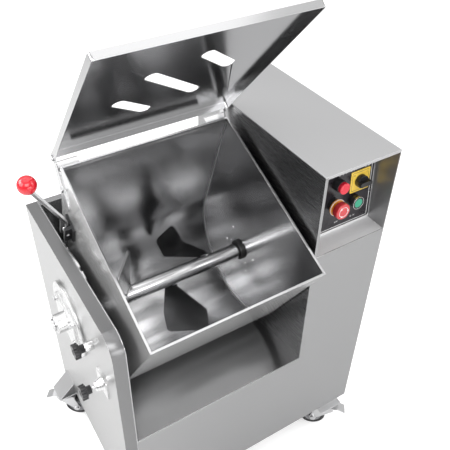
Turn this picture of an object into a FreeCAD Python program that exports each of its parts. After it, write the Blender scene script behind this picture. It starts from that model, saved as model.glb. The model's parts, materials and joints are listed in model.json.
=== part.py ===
import FreeCAD, Part
import math
import os
from FreeCAD import Vector

# Meat mixer with a tilting tub: a sheet steel cabinet on four casters, a drive column with the
# controls on its right, and a U-shaped tub with a hinged lid that tilts about the mixing shaft.
# Millimetres. X runs to the right, Y from front to back, Z up. The shapes are drawn about a point
# on the floor under the middle of the cabinet, and written about the middle of the whole machine.
# The tub is drawn tilted forward, with the lid raised.

# Driving dimensions of the cabinet
cabinet_depth = 536.0
caster_height = 104.0
sheet = 2.0
column_width = 216.0
side_panel_thickness = 30.0
side_panel_corner = 46.0
back_wall_thickness = 20.0
ledge_above_shaft = 184.0
niche_height = 229.0
niche_depth = 55.0
niche_lean = 4.3
bay_floor_drop = 48.0
bay_clearance = 10.5

# Driving dimensions of the tub and its lid
shaft_height = 502.0
shaft_from_front = 283.0
tub_width = 436.0
tub_gap = 14.0
tub_side_gap = 30.0
tub_radius = 196.0
tub_mouth = 463.0
rim_height = 316.0
rest_tilt = 24.5
tub_sheet = 2.0
rim_hem = 3.0
rim_hem_height = 12.0
lid_overlap = 5.0
lid_reach = 6.5
lid_gap = 0.5
lid_sheet = 1.5
lid_skirt = 16.0
lid_open_angle = 72.7
slot_width = 29.0
slot_pitch = 104.0
slot_lengths = (136.0, 222.0, 136.0)
bracket_thickness = 3.0
lid_pin_radius = 4.0

# Driving dimensions of the shaft, its bearings and the lock
shaft_radius = 21.2
drive_stub_radius = 17.5
loose_stub_radius = 13.0
blade_thickness = 5.0
blade_gap = 12.0
blade_root = 34.0
blade_corner = 14.0
disc_radius = 100.0
disc_thickness = 9.0
flange_width = 127.0
flange_height = 90.0
flange_thickness = 5.5
bolt_inset = 12.0
hub_radius = 25.0
hub_length = 26.5
collar_radius = 16.0
collar_length = 4.5
left_trunnion_radius = 20.0
right_trunnion_radius = 45.0
lever_along = 157.0
lever_pivot_height = 160.0
lever_foot_height = 72.0
lever_bend_height = 200.0
lever_ball_height = 409.0
lever_ball_out = 84.5
lever_ball_radius = 20.0
lock_stops = (0.0, 24.5, 50.0, 76.5)

# Driving dimensions of the controls: distance from the right side, height above the ledge
stop_place = (118.0, 139.0)
emergency_place = (127.0, 85.0)
start_place = (63.0, 75.0)
switch_place = (47.0, 124.0)
control_hole = 11.2

# Driving dimensions of the casters
caster_left_reach = 22.0
caster_right_inset = 69.0
caster_front_inset = 11.0
caster_back_inset = 71.0
wheel_radius = 37.5
wheel_width = 27.0
caster_trail = 32.0
caster_turns = (("front_left", 215.0), ("front_right", 143.0), ("rear_left", 323.0),
                ("rear_right", 40.0))

# Clearances: a running fit, the gap round a fixed piece in its hole, and the gap between pieces
# that pass each other
running_fit = 0.05
hole_gap = 0.2
moving_gap = 0.5

# Planes worked out from the driving dimensions
cabinet_width = side_panel_thickness + tub_side_gap + tub_width + tub_gap + column_width
left = -cabinet_width / 2
right = cabinet_width / 2
front = -cabinet_depth / 2
back = cabinet_depth / 2
bottom = caster_height
axis_y = front + shaft_from_front
axis_z = bottom + shaft_height
ledge = axis_z + ledge_above_shaft
top = ledge + niche_height
bay_slope = math.atan2(bay_floor_drop, cabinet_depth)
sill = (axis_z - (tub_radius + bay_clearance) / math.cos(bay_slope)
        + shaft_from_front * math.tan(bay_slope))
bay_left = left + side_panel_thickness
column_left = right - column_width
tub_right = column_left - tub_gap
tub_left = tub_right - tub_width
niche_back = front + niche_depth
bay_floor_back = sill - bay_floor_drop
half_mouth = tub_mouth / 2
lid_top = rim_height + lid_gap + lid_sheet
lid_pivot_along = half_mouth + 30.5
lid_pivot_height = rim_height - 6.0

X_AXIS = Vector(1, 0, 0)
Y_AXIS = Vector(0, 1, 0)
Z_AXIS = Vector(0, 0, 1)


# Small building blocks
def box(x0, x1, y0, y1, z0, z1):
    """Box between two corners."""
    return Part.makeBox(x1 - x0, y1 - y0, z1 - z0, Vector(x0, y0, z0))


def rod(radius, x0, x1, y, z):
    """Cylinder along X."""
    return Part.makeCylinder(radius, x1 - x0, Vector(x0, y, z), X_AXIS)


def ring(outer, inner, x0, x1, y, z):
    """Ring about a line along X."""
    return rod(outer, x0, x1, y, z).cut(rod(inner, x0, x1, y, z))


def post(radius, x, y, z0, z1):
    """Upright cylinder."""
    return Part.makeCylinder(radius, z1 - z0, Vector(x, y, z0))


def stud(radius, x, y0, y1, z):
    """Cylinder along Y."""
    return Part.makeCylinder(radius, y1 - y0, Vector(x, y0, z), Y_AXIS)


def plate_yz(points, x0, x1):
    """Flat plate whose outline is given as Y and Z pairs."""
    corners = [Vector(x0, y, z) for y, z in points]
    return Part.Face(Part.makePolygon(corners + [corners[0]])).extrude(Vector(x1 - x0, 0, 0))


def plate_xz(points, y0, y1):
    """Flat plate whose outline is given as X and Z pairs."""
    corners = [Vector(x, y0, z) for x, z in points]
    return Part.Face(Part.makePolygon(corners + [corners[0]])).extrude(Vector(0, y1 - y0, 0))


def edges_along(shape, direction, keep=None):
    """Straight edges of a shape that run along a direction."""
    found = []
    for edge in shape.Edges:
        if not isinstance(edge.Curve, Part.Line):
            continue
        run = edge.tangentAt(edge.FirstParameter)
        if abs(run.dot(direction)) < 0.999999:
            continue
        if keep is None or keep(edge.CenterOfMass):
            found.append(edge)
    return found


def rounded(shape, radius, direction, keep=None):
    """Round the edges that run along a direction."""
    return shape.makeFillet(radius, edges_along(shape, direction, keep))


def fused(first, *others):
    """One solid from touching shapes."""
    return first.fuse(list(others)).removeSplitter()


def group(*shapes):
    """Several solids that stay separate."""
    return Part.makeCompound(list(shapes))


def turned(shape, y, z, angle):
    """Copy of a shape turned about a line along X."""
    copy = shape.copy()
    copy.rotate(Vector(0, y, z), X_AXIS, angle)
    return copy


def spun(shape, x, y, angle):
    """Copy of a shape turned about an upright line."""
    copy = shape.copy()
    copy.rotate(Vector(x, y, 0), Z_AXIS, angle)
    return copy


def mirrored_x(shape, x):
    """Copy of a shape mirrored in a plane across X."""
    return shape.mirror(Vector(x, 0, 0), X_AXIS)


# Cabinet, bay and drive column
def side_outline(inset, x0, x1):
    """Outline of the left side panel with its rounded top front corner, pushed along X."""
    y0, y1, z0, z1 = front + inset, back - inset, bottom + inset, ledge - inset
    body = box(x0, x1, y0, y1, z0, z1)
    radius = side_panel_corner - inset
    return rounded(body, radius, X_AXIS, lambda c: c.y < y0 + 1 and c.z > z1 - 1)


def side_panel():
    """Folded tray that is open towards the bay, with holes for the trunnion and the knob screws."""
    tray = side_outline(0, left, bay_left).cut(side_outline(sheet, left + sheet, bay_left))
    cutters = [rod(left_trunnion_radius + 4, left, bay_left, axis_y, axis_z)]
    for y, z in (upper_knob, lower_knob):
        cutters.append(rod(knob_screw_radius + moving_gap, left, bay_left, y, z))
    return tray.cut(cutters)


def cabinet_shell():
    """L-shaped front, full height right side, and the lower left and rear sheets."""
    front_sheet = plate_xz([(bay_left, bottom), (right, bottom), (right, ledge), (column_left, ledge),
                            (column_left, sill), (bay_left, sill)], front, front + sheet)
    right_side = plate_yz([(front + sheet, bottom), (back, bottom), (back, top - sheet),
                           (front, top - sheet), (front, ledge), (front + sheet, ledge)],
                          right - sheet, right)
    left_side = plate_yz([(front + sheet, bottom), (back, bottom), (back, bay_floor_back - sheet),
                          (front + sheet, sill - sheet)], bay_left, bay_left + sheet)
    rear = box(bay_left, right, back - sheet, back, bottom, bay_floor_back - sheet)
    return fused(front_sheet, right_side, left_side, rear)


def bay_liner():
    """Sloping floor, left wall and hollow back wall of the bay under the tub."""
    y0, y1 = front + sheet, back - back_wall_thickness
    floor = plate_yz([(y0, sill), (back, bay_floor_back), (back, bay_floor_back - sheet),
                      (y0, sill - sheet)], bay_left, column_left)
    above_floor = plate_yz([(front, sill), (y0, sill), (back, bay_floor_back), (back, top),
                            (front, top)], bay_left, bay_left + sheet)
    wall = side_outline(0, bay_left, bay_left + sheet).common(above_floor)
    wall = wall.cut(rod(left_trunnion_radius + 4, bay_left, bay_left + sheet, axis_y, axis_z))
    x0, x1 = bay_left + sheet, column_left
    upright = box(x0, x1, y1, back, bay_floor_back, ledge)
    hollow = box(x0, x1, y1 + sheet, back - sheet, bay_floor_back, ledge - sheet)
    under = plate_yz([(y0, sill), (back, bay_floor_back), (y0, bay_floor_back)], x0, x1)
    return fused(floor, wall, upright.cut(hollow).cut(under))


def column_wall():
    """Left wall of the drive column with a narrow front fold and the trunnion's hole."""
    wall = plate_yz([(front + sheet, sill - sheet), (back - sheet, bay_floor_back - sheet),
                     (back - sheet, top - sheet), (front, top - sheet), (front, ledge),
                     (front + sheet, ledge)], column_left, column_left + sheet)
    fold = box(column_left + sheet, column_left + 8, front, front + sheet, ledge, top - sheet)
    wall = fused(wall, fold)
    return wall.cut(rod(right_trunnion_radius + 3, column_left, column_left + sheet, axis_y, axis_z))


def on_panel(shape):
    """Lean a shape that is drawn on the upright control panel back with it."""
    return turned(shape, niche_back, ledge, -niche_lean)


def control_centre(place):
    """X and upright Z of a control."""
    return right - place[0], ledge + place[1]


def control_niche():
    """Ledge and leaning panel of the control niche, with the holes of the controls."""
    x0, x1 = column_left + sheet, right - sheet
    shelf = box(x0, x1, front + sheet, niche_back + sheet, ledge - sheet, ledge)
    length = (top - sheet - ledge) / math.cos(math.radians(niche_lean))
    panel = box(x0, x1, niche_back, niche_back + sheet, ledge, ledge + length)
    for place in control_places:
        x, z = control_centre(place)
        panel = panel.cut(stud(control_hole, x, niche_back, niche_back + sheet, z))
    return fused(shelf, on_panel(panel))


def housing_top_cover():
    """Lid of the column with folds inside its walls and a small lip over the niche."""
    x0, x1 = column_left + sheet, right - sheet
    cover = box(column_left, right, front, back, top - sheet, top)
    fold = 14.0
    left_fold = box(x0, x0 + sheet, niche_back + 30, back - 2 * sheet, top - fold, top - sheet)
    right_fold = box(x1 - sheet, x1, niche_back + 30, back - 2 * sheet, top - fold, top - sheet)
    lip = box(column_left + 8, x1, front, front + sheet, top - 7, top - sheet)
    return rounded(fused(cover, left_fold, right_fold, lip), 1.2, Y_AXIS,
                   lambda c: c.z > top - 0.1)


def rear_cover():
    """Access cover of the column with two columns of vent slots."""
    cover = box(column_left, right - sheet, back - sheet, back, bay_floor_back - sheet, top - sheet)
    slots = []
    for column in (column_left + 60, right - 60):
        for row in range(9):
            z = top - 80 - 18 * row
            slots.append(box(column - 28, column + 28, back - sheet, back, z, z + 5))
    screws = []
    for x in (column_left + 12, right - 14):
        for z in (bay_floor_back + 30, (bay_floor_back + top) / 2, top - 30):
            screws.append(stud(4.5, x, back, back + 2.5, z))
    gland_hole = stud(gland_radius, gland_x, back - sheet, back, gland_z)
    return group(cover.cut(slots).cut(gland_hole), *screws)


def bottom_plate():
    """Floor of the cabinet that carries the casters."""
    return box(bay_left + sheet, right - sheet, front + sheet, back - sheet, bottom, bottom + 3)


# Bearings, drive and electrics
def bearing_disc():
    """Round raised disc on the outside of the side panel."""
    disc = ring(disc_radius, left_trunnion_radius + 4, left - disc_thickness, left, axis_y, axis_z)
    outer = [e for e in disc.Edges if abs(e.CenterOfMass.x - left + disc_thickness) < 0.1
             and e.BoundBox.YLength > 1.9 * disc_radius]
    return disc.makeFillet(3.0, outer)


def flange_bolt_places():
    """Y and Z of the four bolts of the left bearing."""
    along, up = flange_width / 2 - bolt_inset, flange_height / 2 - bolt_inset
    return [(axis_y + a * along, axis_z + b * up) for a in (-1, 1) for b in (-1, 1)]


def bearing_flange():
    """Oblong flange with rounded corners and a proud hub that carries the left trunnion."""
    x1 = left - disc_thickness
    x0 = x1 - flange_thickness
    along, up = flange_width / 2, flange_height / 2
    plate = box(x0, x1, axis_y - along, axis_y + along, axis_z - up, axis_z + up)
    plate = rounded(plate, 6.0, X_AXIS)
    hub = rod(hub_radius, x0 - hub_length, x0, axis_y, axis_z)
    rim = [e for e in hub.Edges if abs(e.CenterOfMass.x - x0 + hub_length) < 0.1]
    body = fused(plate, hub.makeFillet(2.5, rim))
    return body.cut(rod(left_trunnion_radius + running_fit, x0 - hub_length, x1, axis_y, axis_z))


def flange_bolts():
    """Hexagon bolts with washers on the bearing flange."""
    x = left - disc_thickness - flange_thickness
    bolts = []
    for y, z in flange_bolt_places():
        washer = rod(8.0, x - 1.6, x, y, z)
        head = plate_yz([(y + 6.5 * math.cos(math.radians(60 * k)),
                          z + 6.5 * math.sin(math.radians(60 * k))) for k in range(6)],
                        x - 7.0, x - 1.6)
        bolts.append(fused(washer, head))
    return group(*bolts)


housing_flange_radius = 82.0
housing_flange = 10.0
housing_radius = 60.0
housing_depth = 38.0


def right_bearing_housing():
    """Flanged housing inside the column that carries the right trunnion."""
    x0 = column_left + sheet
    plate = rod(housing_flange_radius, x0, x0 + housing_flange, axis_y, axis_z)
    barrel = rod(housing_radius, x0 + housing_flange, x0 + housing_depth, axis_y, axis_z)
    bore = rod(right_trunnion_radius + running_fit, x0, x0 + housing_depth, axis_y, axis_z)
    return fused(plate, barrel).cut(bore)


gearbox_x0 = column_left + 58
gearbox_x1 = gearbox_x0 + 100
gearbox_half = 62.0
gearbox_boss = 6.0
gearbox_boss_radius = 48.0
motor_x = (gearbox_x0 + gearbox_x1) / 2
bracket_sheet = 6.0
bracket_half = 75.0
bracket_leg = 110.0


def drive_bracket():
    """Angle bracket on the column wall that carries the gearbox and the motor."""
    x0, x1 = column_left + sheet, gearbox_x1 + 10
    y0, y1 = axis_y - bracket_half, axis_y + bracket_half
    z1 = axis_z - gearbox_half
    z0 = z1 - bracket_sheet
    leg = box(x0, x0 + bracket_sheet, y0, y1, z1 - bracket_leg, z1)
    shelf = box(x0, x1, y0, y1, z0, z1)
    web = plate_xz([(x0 + bracket_sheet, z1 - bracket_leg), (x0 + 40 + bracket_sheet, z0),
                    (x0 + bracket_sheet, z0)], y0, y0 + bracket_sheet)
    flange_room = rod(housing_flange_radius + moving_gap, x0, x0 + housing_flange + moving_gap,
                      axis_y, axis_z)
    barrel_room = rod(housing_radius + moving_gap, x0, x0 + housing_depth + moving_gap,
                      axis_y, axis_z)
    motor_hole = post(motor_radius * 0.8, motor_x, axis_y, z0, z1)
    return fused(leg, shelf, web).cut([flange_room, barrel_room, motor_hole])


def gearbox():
    """Worm gearbox with a hollow output shaft."""
    case = box(gearbox_x0, gearbox_x1, axis_y - gearbox_half, axis_y + gearbox_half,
               axis_z - gearbox_half, axis_z + gearbox_half)
    case = rounded(case, 22.0, X_AXIS, lambda c: c.z > axis_z)
    x0, x1 = gearbox_x0 - gearbox_boss, gearbox_x1 + gearbox_boss
    bosses = rod(gearbox_boss_radius, x0, x1, axis_y, axis_z)
    bore = rod(drive_stub_radius + running_fit, x0, x1, axis_y, axis_z)
    return fused(case, bosses).cut(bore)


motor_radius = 58.0
motor_length = 160.0
motor_flange = 10.0
fan_length = 40.0
rib_half = 2.0
rib_reach = 8.0
terminal_box = (70.0, 45.0)


def motor():
    """Upright motor under the gearbox: flange, ribbed body, fan cover and terminal box."""
    z2 = axis_z - gearbox_half - bracket_sheet
    z1 = z2 - motor_flange
    z0 = z1 - motor_length
    outer = motor_radius + rib_reach
    flange = post(outer + 4, motor_x, axis_y, z1, z2)
    body = post(motor_radius, motor_x, axis_y, z0, z1)
    fan = post(outer, motor_x, axis_y, z0 - fan_length, z0)
    ribs = []
    for k in range(12):
        rib = box(motor_x + motor_radius - rib_reach, motor_x + outer, axis_y - rib_half,
                  axis_y + rib_half, z0 + motor_flange, z1 - rib_half)
        ribs.append(spun(rib, motor_x, axis_y, 30 * k))
    width, depth = terminal_box
    terminals = box(motor_x - width / 2, motor_x + width / 2, axis_y + motor_radius - rib_reach,
                    axis_y + motor_radius - rib_reach + depth, z1 - 30 - width, z1 - 30)
    return fused(flange, body, *ribs, fan, terminals)


electrical_box_size = (240.0, 170.0, 120.0)


def electrical_box():
    """Closed box for the contactors, on the cabinet's floor."""
    length, depth, height = electrical_box_size
    x1 = column_left - 117
    y1 = back - 78
    floor = bottom + sheet + 1
    body = box(x1 - length, x1, y1 - depth, y1, floor, floor + height)
    return rounded(body, 6.0, Z_AXIS)


gland_radius = 10.0
gland_bore = 4.5
gland_x = right - 60.0
gland_z = bay_floor_back + 70.0


def cable_gland():
    """Inlet for the mains lead: a body through the rear cover, a hexagon and a domed nut."""
    body = stud(gland_radius, gland_x, back - 10, back + 4, gland_z)
    corners = [(gland_x + 14 * math.cos(math.radians(60 * k)),
                gland_z + 14 * math.sin(math.radians(60 * k))) for k in range(6)]
    hexagon = plate_xz(corners, back, back + 6)
    dome = Part.makeCone(12.0, 8.0, 14.0, Vector(gland_x, back + 6, gland_z), Y_AXIS)
    return fused(body, hexagon, dome).cut(stud(gland_bore, gland_x, back - 10, back + 20, gland_z))


# Star knobs with their screws
upper_knob = (front + 126.0, axis_z + 66.0)
lower_knob = (front + 86.0, axis_z - 28.0)
knob_screw_radius = 5.0
upper_boss_length = 20.0
lower_boss_length = 22.0
upper_bare_length = 0.5
lower_bare_length = 10.0
boss_plate_thickness = 5.0
boss_plate_half = 29.0
knob_shank_length = 11.5
knob_length = 13.5
knob_core_radius = 13.0
knob_lobe_radius = 6.0


def clamp_bosses():
    """Turned boss of the upper knob, and the conical boss of the lower one on its square plate."""
    bore_radius = knob_screw_radius + running_fit
    y, z = upper_knob
    upper = ring(11.0, bore_radius, left - upper_boss_length, left, y, z)
    y, z = lower_knob
    half = boss_plate_half
    plate = rounded(box(left - boss_plate_thickness, left, y - half, y + half, z - half, z + half),
                    4.0, X_AXIS)
    cone = Part.makeCone(11.0, 19.0, lower_boss_length, Vector(left - lower_boss_length, y, z),
                         X_AXIS)
    bore = rod(bore_radius, left - lower_boss_length, left, y, z)
    return group(upper, fused(plate, cone).cut(bore))


def star_knob(place, boss_length, bare_length):
    """Five-lobed knob with a shank on the outer end of a clamping screw."""
    y, z = place
    x2 = left - boss_length - bare_length
    x1 = x2 - knob_shank_length
    x0 = x1 - knob_length
    core = rod(knob_core_radius, x0, x1, y, z)
    lobes = []
    for k in range(5):
        angle = math.radians(72 * k + 18)
        lobe_y = y + knob_core_radius * math.cos(angle)
        lobe_z = z + knob_core_radius * math.sin(angle)
        lobes.append(rod(knob_lobe_radius, x0, x1, lobe_y, lobe_z))
    shank = rod(10.0, x1, x2, y, z)
    body = fused(core, *lobes, shank)
    return body.cut(rod(knob_screw_radius, x0 + knob_length / 2, x2, y, z))


def knob_screw(place, boss_length, bare_length):
    """Screw that runs from the knob through its boss into the side panel."""
    y, z = place
    x0 = left - boss_length - bare_length - knob_shank_length - knob_length / 2
    return rod(knob_screw_radius, x0, left + side_panel_thickness / 2, y, z)


# Tub, drawn upright and then tilted
def tilted(shape):
    """Turn a shape drawn with the tub upright to the drawn tilt."""
    return turned(shape, axis_y, axis_z, rest_tilt)


def wall_flare():
    """Angle in radians by which the flat walls lean out of the trough."""
    reach = math.hypot(half_mouth, rim_height)
    return math.acos(tub_radius / reach) - math.atan2(rim_height, half_mouth)


def tub_outline(inset, x0, x1):
    """U-shaped outline of the tub, pushed along X: flared walls that meet the round bottom."""
    flare = wall_flare()
    radius = tub_radius - inset
    mouth = half_mouth - inset / math.cos(flare)
    side = radius * math.cos(flare)
    drop = -radius * math.sin(flare)
    rim_front = Vector(x0, axis_y - mouth, axis_z + rim_height)
    low_front = Vector(x0, axis_y - side, axis_z + drop)
    lowest = Vector(x0, axis_y, axis_z - radius)
    low_rear = Vector(x0, axis_y + side, axis_z + drop)
    rim_rear = Vector(x0, axis_y + mouth, axis_z + rim_height)
    wire = Part.Wire([Part.makeLine(rim_front, low_front),
                      Part.Arc(low_front, lowest, low_rear).toShape(),
                      Part.makeLine(low_rear, rim_rear),
                      Part.makeLine(rim_rear, rim_front)])
    return Part.Face(wire).extrude(Vector(x1 - x0, 0, 0))


def rim_band():
    """Block that holds the top of the tub down to the lower edge of the rim's fold."""
    z1 = axis_z + rim_height
    return box(tub_left, tub_right, axis_y - tub_mouth, axis_y + tub_mouth, z1 - rim_hem_height, z1)


def tub_trough():
    """Front wall, round bottom and rear wall in one sheet, with the rim folded inwards."""
    x0, x1 = tub_left + tub_sheet, tub_right - tub_sheet
    shell = tub_outline(0, x0, x1).cut(tub_outline(tub_sheet, x0, x1))
    fold = tub_outline(tub_sheet, x0, x1).cut(tub_outline(tub_sheet + rim_hem, x0, x1))
    return tilted(fused(shell, fold.common(rim_band())))


def tub_end(x0, inner_x):
    """End wall with its folded rim and the hole of the shaft."""
    wall = tub_outline(0, x0, x0 + tub_sheet)
    x1 = inner_x + rim_hem if inner_x > x0 else inner_x
    fold = tub_outline(tub_sheet + rim_hem, x1 - rim_hem, x1).common(rim_band())
    hole = rod(shaft_radius + moving_gap, x0, x0 + tub_sheet, axis_y, axis_z)
    return tilted(fused(wall, fold).cut(hole))


def tub_end_left():
    """Left end wall."""
    return tub_end(tub_left, tub_left + tub_sheet)


def tub_end_right():
    """Right end wall."""
    return tub_end(tub_right - tub_sheet, tub_right - tub_sheet)


trunnion_end = left - disc_thickness - flange_thickness - hub_length - 2.0
trunnion_flange = 6.0
trunnion_flange_radius = 62.0


def trunnion_left():
    """Tube welded to the left end wall that turns in the hub and carries the loose shaft end."""
    flange = rod(trunnion_flange_radius, tub_left - trunnion_flange, tub_left, axis_y, axis_z)
    tube = rod(left_trunnion_radius, trunnion_end, tub_left - trunnion_flange, axis_y, axis_z)
    bore = rod(loose_stub_radius + running_fit, trunnion_end, tub_left, axis_y, axis_z)
    return tilted(fused(flange, tube).cut(bore))


def trunnion_right():
    """Short wide tube welded to the right end wall that turns in the column's bearing."""
    flange = rod(trunnion_flange_radius, tub_right, tub_right + trunnion_flange, axis_y, axis_z)
    inner_end = column_left + sheet + housing_depth + 2
    tube = rod(right_trunnion_radius, tub_right + trunnion_flange, inner_end, axis_y, axis_z)
    bore = rod(drive_stub_radius + 3, tub_right, inner_end, axis_y, axis_z)
    return tilted(fused(flange, tube).cut(bore))


seal_length = 8.0
seal_radius = 28.0


def shaft_seals():
    """Black sealing rings round both ends of the shaft, on the inside of the end walls."""
    bore = shaft_radius + running_fit
    inner_left, inner_right = tub_left + tub_sheet, tub_right - tub_sheet
    left_seal = ring(seal_radius, bore, inner_left, inner_left + seal_length, axis_y, axis_z)
    right_seal = ring(seal_radius, bore, inner_right - seal_length, inner_right, axis_y, axis_z)
    return tilted(group(left_seal, right_seal))


def dome_bolt(radius, height, y, z):
    """Dome-headed bolt on the inner face of the right end wall."""
    x1 = tub_right - tub_sheet
    sphere_radius = (radius ** 2 + height ** 2) / (2 * height)
    sphere = Part.makeSphere(sphere_radius, Vector(x1 - height + sphere_radius, y, z))
    return sphere.common(rod(radius, x1 - height, x1, y, z))


def polar(radius, angle):
    """Y and Z of a point at a radius from the shaft, in the upright tub."""
    turn = math.radians(angle)
    return axis_y + radius * math.cos(turn), axis_z + radius * math.sin(turn)


def tub_fasteners():
    """Dome bolts round the shaft at both ends, and the bolts and nuts of the lid brackets."""
    pieces = []
    for angle in (33.0, 147.0, 213.0, 327.0):
        pieces.append(dome_bolt(6.0, 4.0, *polar(66.0, angle)))
    for angle in (90.0, 200.0, 340.0):
        pieces.append(dome_bolt(4.5, 3.0, *polar(42.0, angle)))
    middle = (tub_left + tub_right) / 2
    pieces += [mirrored_x(piece, middle) for piece in pieces]
    y, z = axis_y + bracket_nut[0], axis_z + bracket_nut[1]
    nut = box(tub_left - bracket_thickness - 5, tub_left - bracket_thickness, y - nut_half,
              y + nut_half, z - nut_half, z + nut_half)
    nut = rounded(nut, 1.0, X_AXIS)
    pieces += [nut, mirrored_x(nut, middle)]
    return tilted(group(*pieces))


# Lid brackets and lid
bracket_low = (half_mouth - 43.5, rim_height - 91.0)
bracket_low_radius = 19.0
bracket_lug_radius = 9.5
bracket_nut = (half_mouth - 25.5, rim_height - 54.0)
nut_half = 6.5
bracket_shelf_width = 54.0


def bracket_point(share):
    """Y and Z of a point on the bracket's middle line, from its low end to the lid pivot."""
    along = bracket_low[0] + share * (lid_pivot_along - bracket_low[0])
    height = bracket_low[1] + share * (lid_pivot_height - bracket_low[1])
    return axis_y + along, axis_z + height


def lid_bracket():
    """Left bracket: a tapered leg on the end wall, a shelf behind the rim and the lid's pin."""
    x0, x1 = tub_left - bracket_thickness, tub_left
    low_y, low_z = bracket_point(0.0)
    pin_y, pin_z = bracket_point(1.0)
    run = math.atan2(pin_z - low_z, pin_y - low_y)
    across = (-math.sin(run), math.cos(run))
    low, lug = bracket_low_radius, bracket_lug_radius
    taper = plate_yz([(low_y + low * across[0], low_z + low * across[1]),
                      (low_y - low * across[0], low_z - low * across[1]),
                      (pin_y - lug * across[0], pin_z - lug * across[1]),
                      (pin_y + lug * across[0], pin_z + lug * across[1])], x0, x1)
    leg = fused(taper, rod(low, x0, x1, low_y, low_z), rod(lug, x0, x1, pin_y, pin_z))
    shelf_top = axis_z + lid_top - lid_skirt - 1.5
    shelf = box(x0, x0 + bracket_shelf_width, axis_y + half_mouth - 4, pin_y - 4,
                shelf_top - bracket_thickness, shelf_top)
    shelf = shelf.cut(tub_outline(0, x0, tub_right))
    shelf = shelf.cut(rod(lid_pin_radius + 8, x1, tub_right, pin_y, pin_z))
    pin_end = tub_left - lid_overlap - 0.4
    pin = rod(lid_pin_radius, pin_end, x0, pin_y, pin_z)
    head = rod(lid_pin_radius + 3, pin_end - 3, pin_end, pin_y, pin_z)
    return fused(leg, shelf, pin, head)


def lid_bracket_left():
    """Bracket at the tub's left rear corner."""
    return tilted(lid_bracket())


def lid_bracket_right():
    """Bracket at the tub's right rear corner."""
    return tilted(mirrored_x(lid_bracket(), (tub_left + tub_right) / 2))


def slot_cutter(length, x, y):
    """Slanted slot with round ends, through the closed lid."""
    z0, z1 = axis_z + rim_height - 5, axis_z + rim_height + 10
    half = (length - slot_width) / 2
    bar = box(x - half, x + half, y - slot_width / 2, y + slot_width / 2, z0, z1)
    ends = [post(slot_width / 2, x - half, y, z0, z1), post(slot_width / 2, x + half, y, z0, z1)]
    return spun(fused(bar, *ends), x, y, 45.0)


def lid_panel():
    """Lid sheet with a skirt all round, three slanted slots and an ear at each rear corner."""
    x0, x1 = tub_left - lid_overlap, tub_right + lid_overlap
    reach = half_mouth + lid_reach
    y0, y1 = axis_y - reach, axis_y + reach
    z1 = axis_z + lid_top
    z0 = z1 - lid_skirt
    tray = rounded(box(x0, x1, y0, y1, z0, z1), 5.0, Z_AXIS)
    inside = box(x0 + lid_sheet, x1 - lid_sheet, y0 + lid_sheet, y1 - lid_sheet, z0, z1 - lid_sheet)
    tray = tray.cut(rounded(inside, 5.0 - lid_sheet, Z_AXIS))
    middle_x = (x0 + x1) / 2
    step = slot_pitch * math.sqrt(0.5)
    for k, length in enumerate(slot_lengths):
        tray = tray.cut(slot_cutter(length, middle_x + (k - 1) * step, axis_y - (k - 1) * step))
    pin_y, pin_z = bracket_point(1.0)
    ears = []
    for ear_x in (x0, x1 - lid_sheet):
        arm = plate_yz([(y1 - 60, z1 - 1), (pin_y, pin_z + 11), (pin_y, pin_z - 11),
                        (y1 - 60, z0)], ear_x, ear_x + lid_sheet)
        ears.append(fused(arm, rod(11.0, ear_x, ear_x + lid_sheet, pin_y, pin_z)))
    panel = fused(tray, *ears)
    panel = panel.cut(rod(lid_pin_radius + running_fit, x0, x1, pin_y, pin_z))
    return tilted(turned(panel, pin_y, pin_z, -lid_open_angle))


# Lever, its block and the lock plate
lever_width = 14.0
lever_thickness = 6.0
lever_base = 6.0
lever_eye_radius = 7.0
lever_pin_radius = 4.0
lever_x = tub_left - lever_base - lever_eye_radius - moving_gap
lock_plate_thickness = 5.5
lock_plate_width = 20.0
lock_stub_radius = 5.0
lock_play = 1.5


def lever_place(height):
    """Y and Z on the lever's line at a height above the shaft, in the upright tub."""
    return axis_y + lever_along, axis_z + height


def lock_lever():
    """Bent flat bar with a hole for its pivot, and the lock stub pressed against its foot."""
    y, foot_z = lever_place(lever_foot_height - 12)
    bend_z = lever_place(lever_bend_height)[1]
    ball_z = lever_place(lever_ball_height)[1]
    half = lever_thickness / 2
    ball_x = lever_x - lever_ball_out
    bar = plate_xz([(lever_x + half, foot_z), (lever_x + half, bend_z),
                    (ball_x + half, ball_z - 12), (ball_x - half, ball_z - 12),
                    (lever_x - half, bend_z), (lever_x - half, foot_z)],
                   y - lever_width / 2, y + lever_width / 2)
    stub = rod(lock_stub_radius, bay_left + sheet + lock_plate_thickness + moving_gap,
               lever_x - half, y, lever_place(lever_foot_height)[1])
    pivot_z = lever_place(lever_pivot_height)[1]
    eye = stud(lever_eye_radius, lever_x, y - lever_width / 2, y + lever_width / 2, pivot_z)
    bore = stud(lever_pin_radius + running_fit, lever_x, y - lever_width / 2,
                y + lever_width / 2, pivot_z)
    return group(tilted(fused(bar, eye).cut(bore)), tilted(stub))


def lever_ball():
    """Ball knob on the lever's upper end."""
    y, z = lever_place(lever_ball_height)
    x = lever_x - lever_ball_out
    ball = Part.makeSphere(lever_ball_radius, Vector(x, y, z))
    socket = box(x - 20, x + 20, y - lever_width / 2, y + lever_width / 2, z - 30, z - 12)
    return tilted(ball.cut(socket))


def lever_clevis():
    """Black block on the end wall with two cheeks and the lever's pivot pin."""
    y, z = lever_place(lever_pivot_height)
    base = box(tub_left - lever_base, tub_left, y - 25, y + 25, z - 27, z + 27)
    inner = lever_width / 2 + moving_gap
    cheeks = []
    for y0, y1 in ((y - inner - 9, y - inner), (y + inner, y + inner + 9)):
        cheeks.append(box(lever_x - 9, tub_left - lever_base, y0, y1, z - 27, z + 27))
    pin = stud(lever_pin_radius, lever_x, y - inner - 9, y + inner + 9, z)
    return tilted(fused(base, *cheeks, pin))


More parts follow.
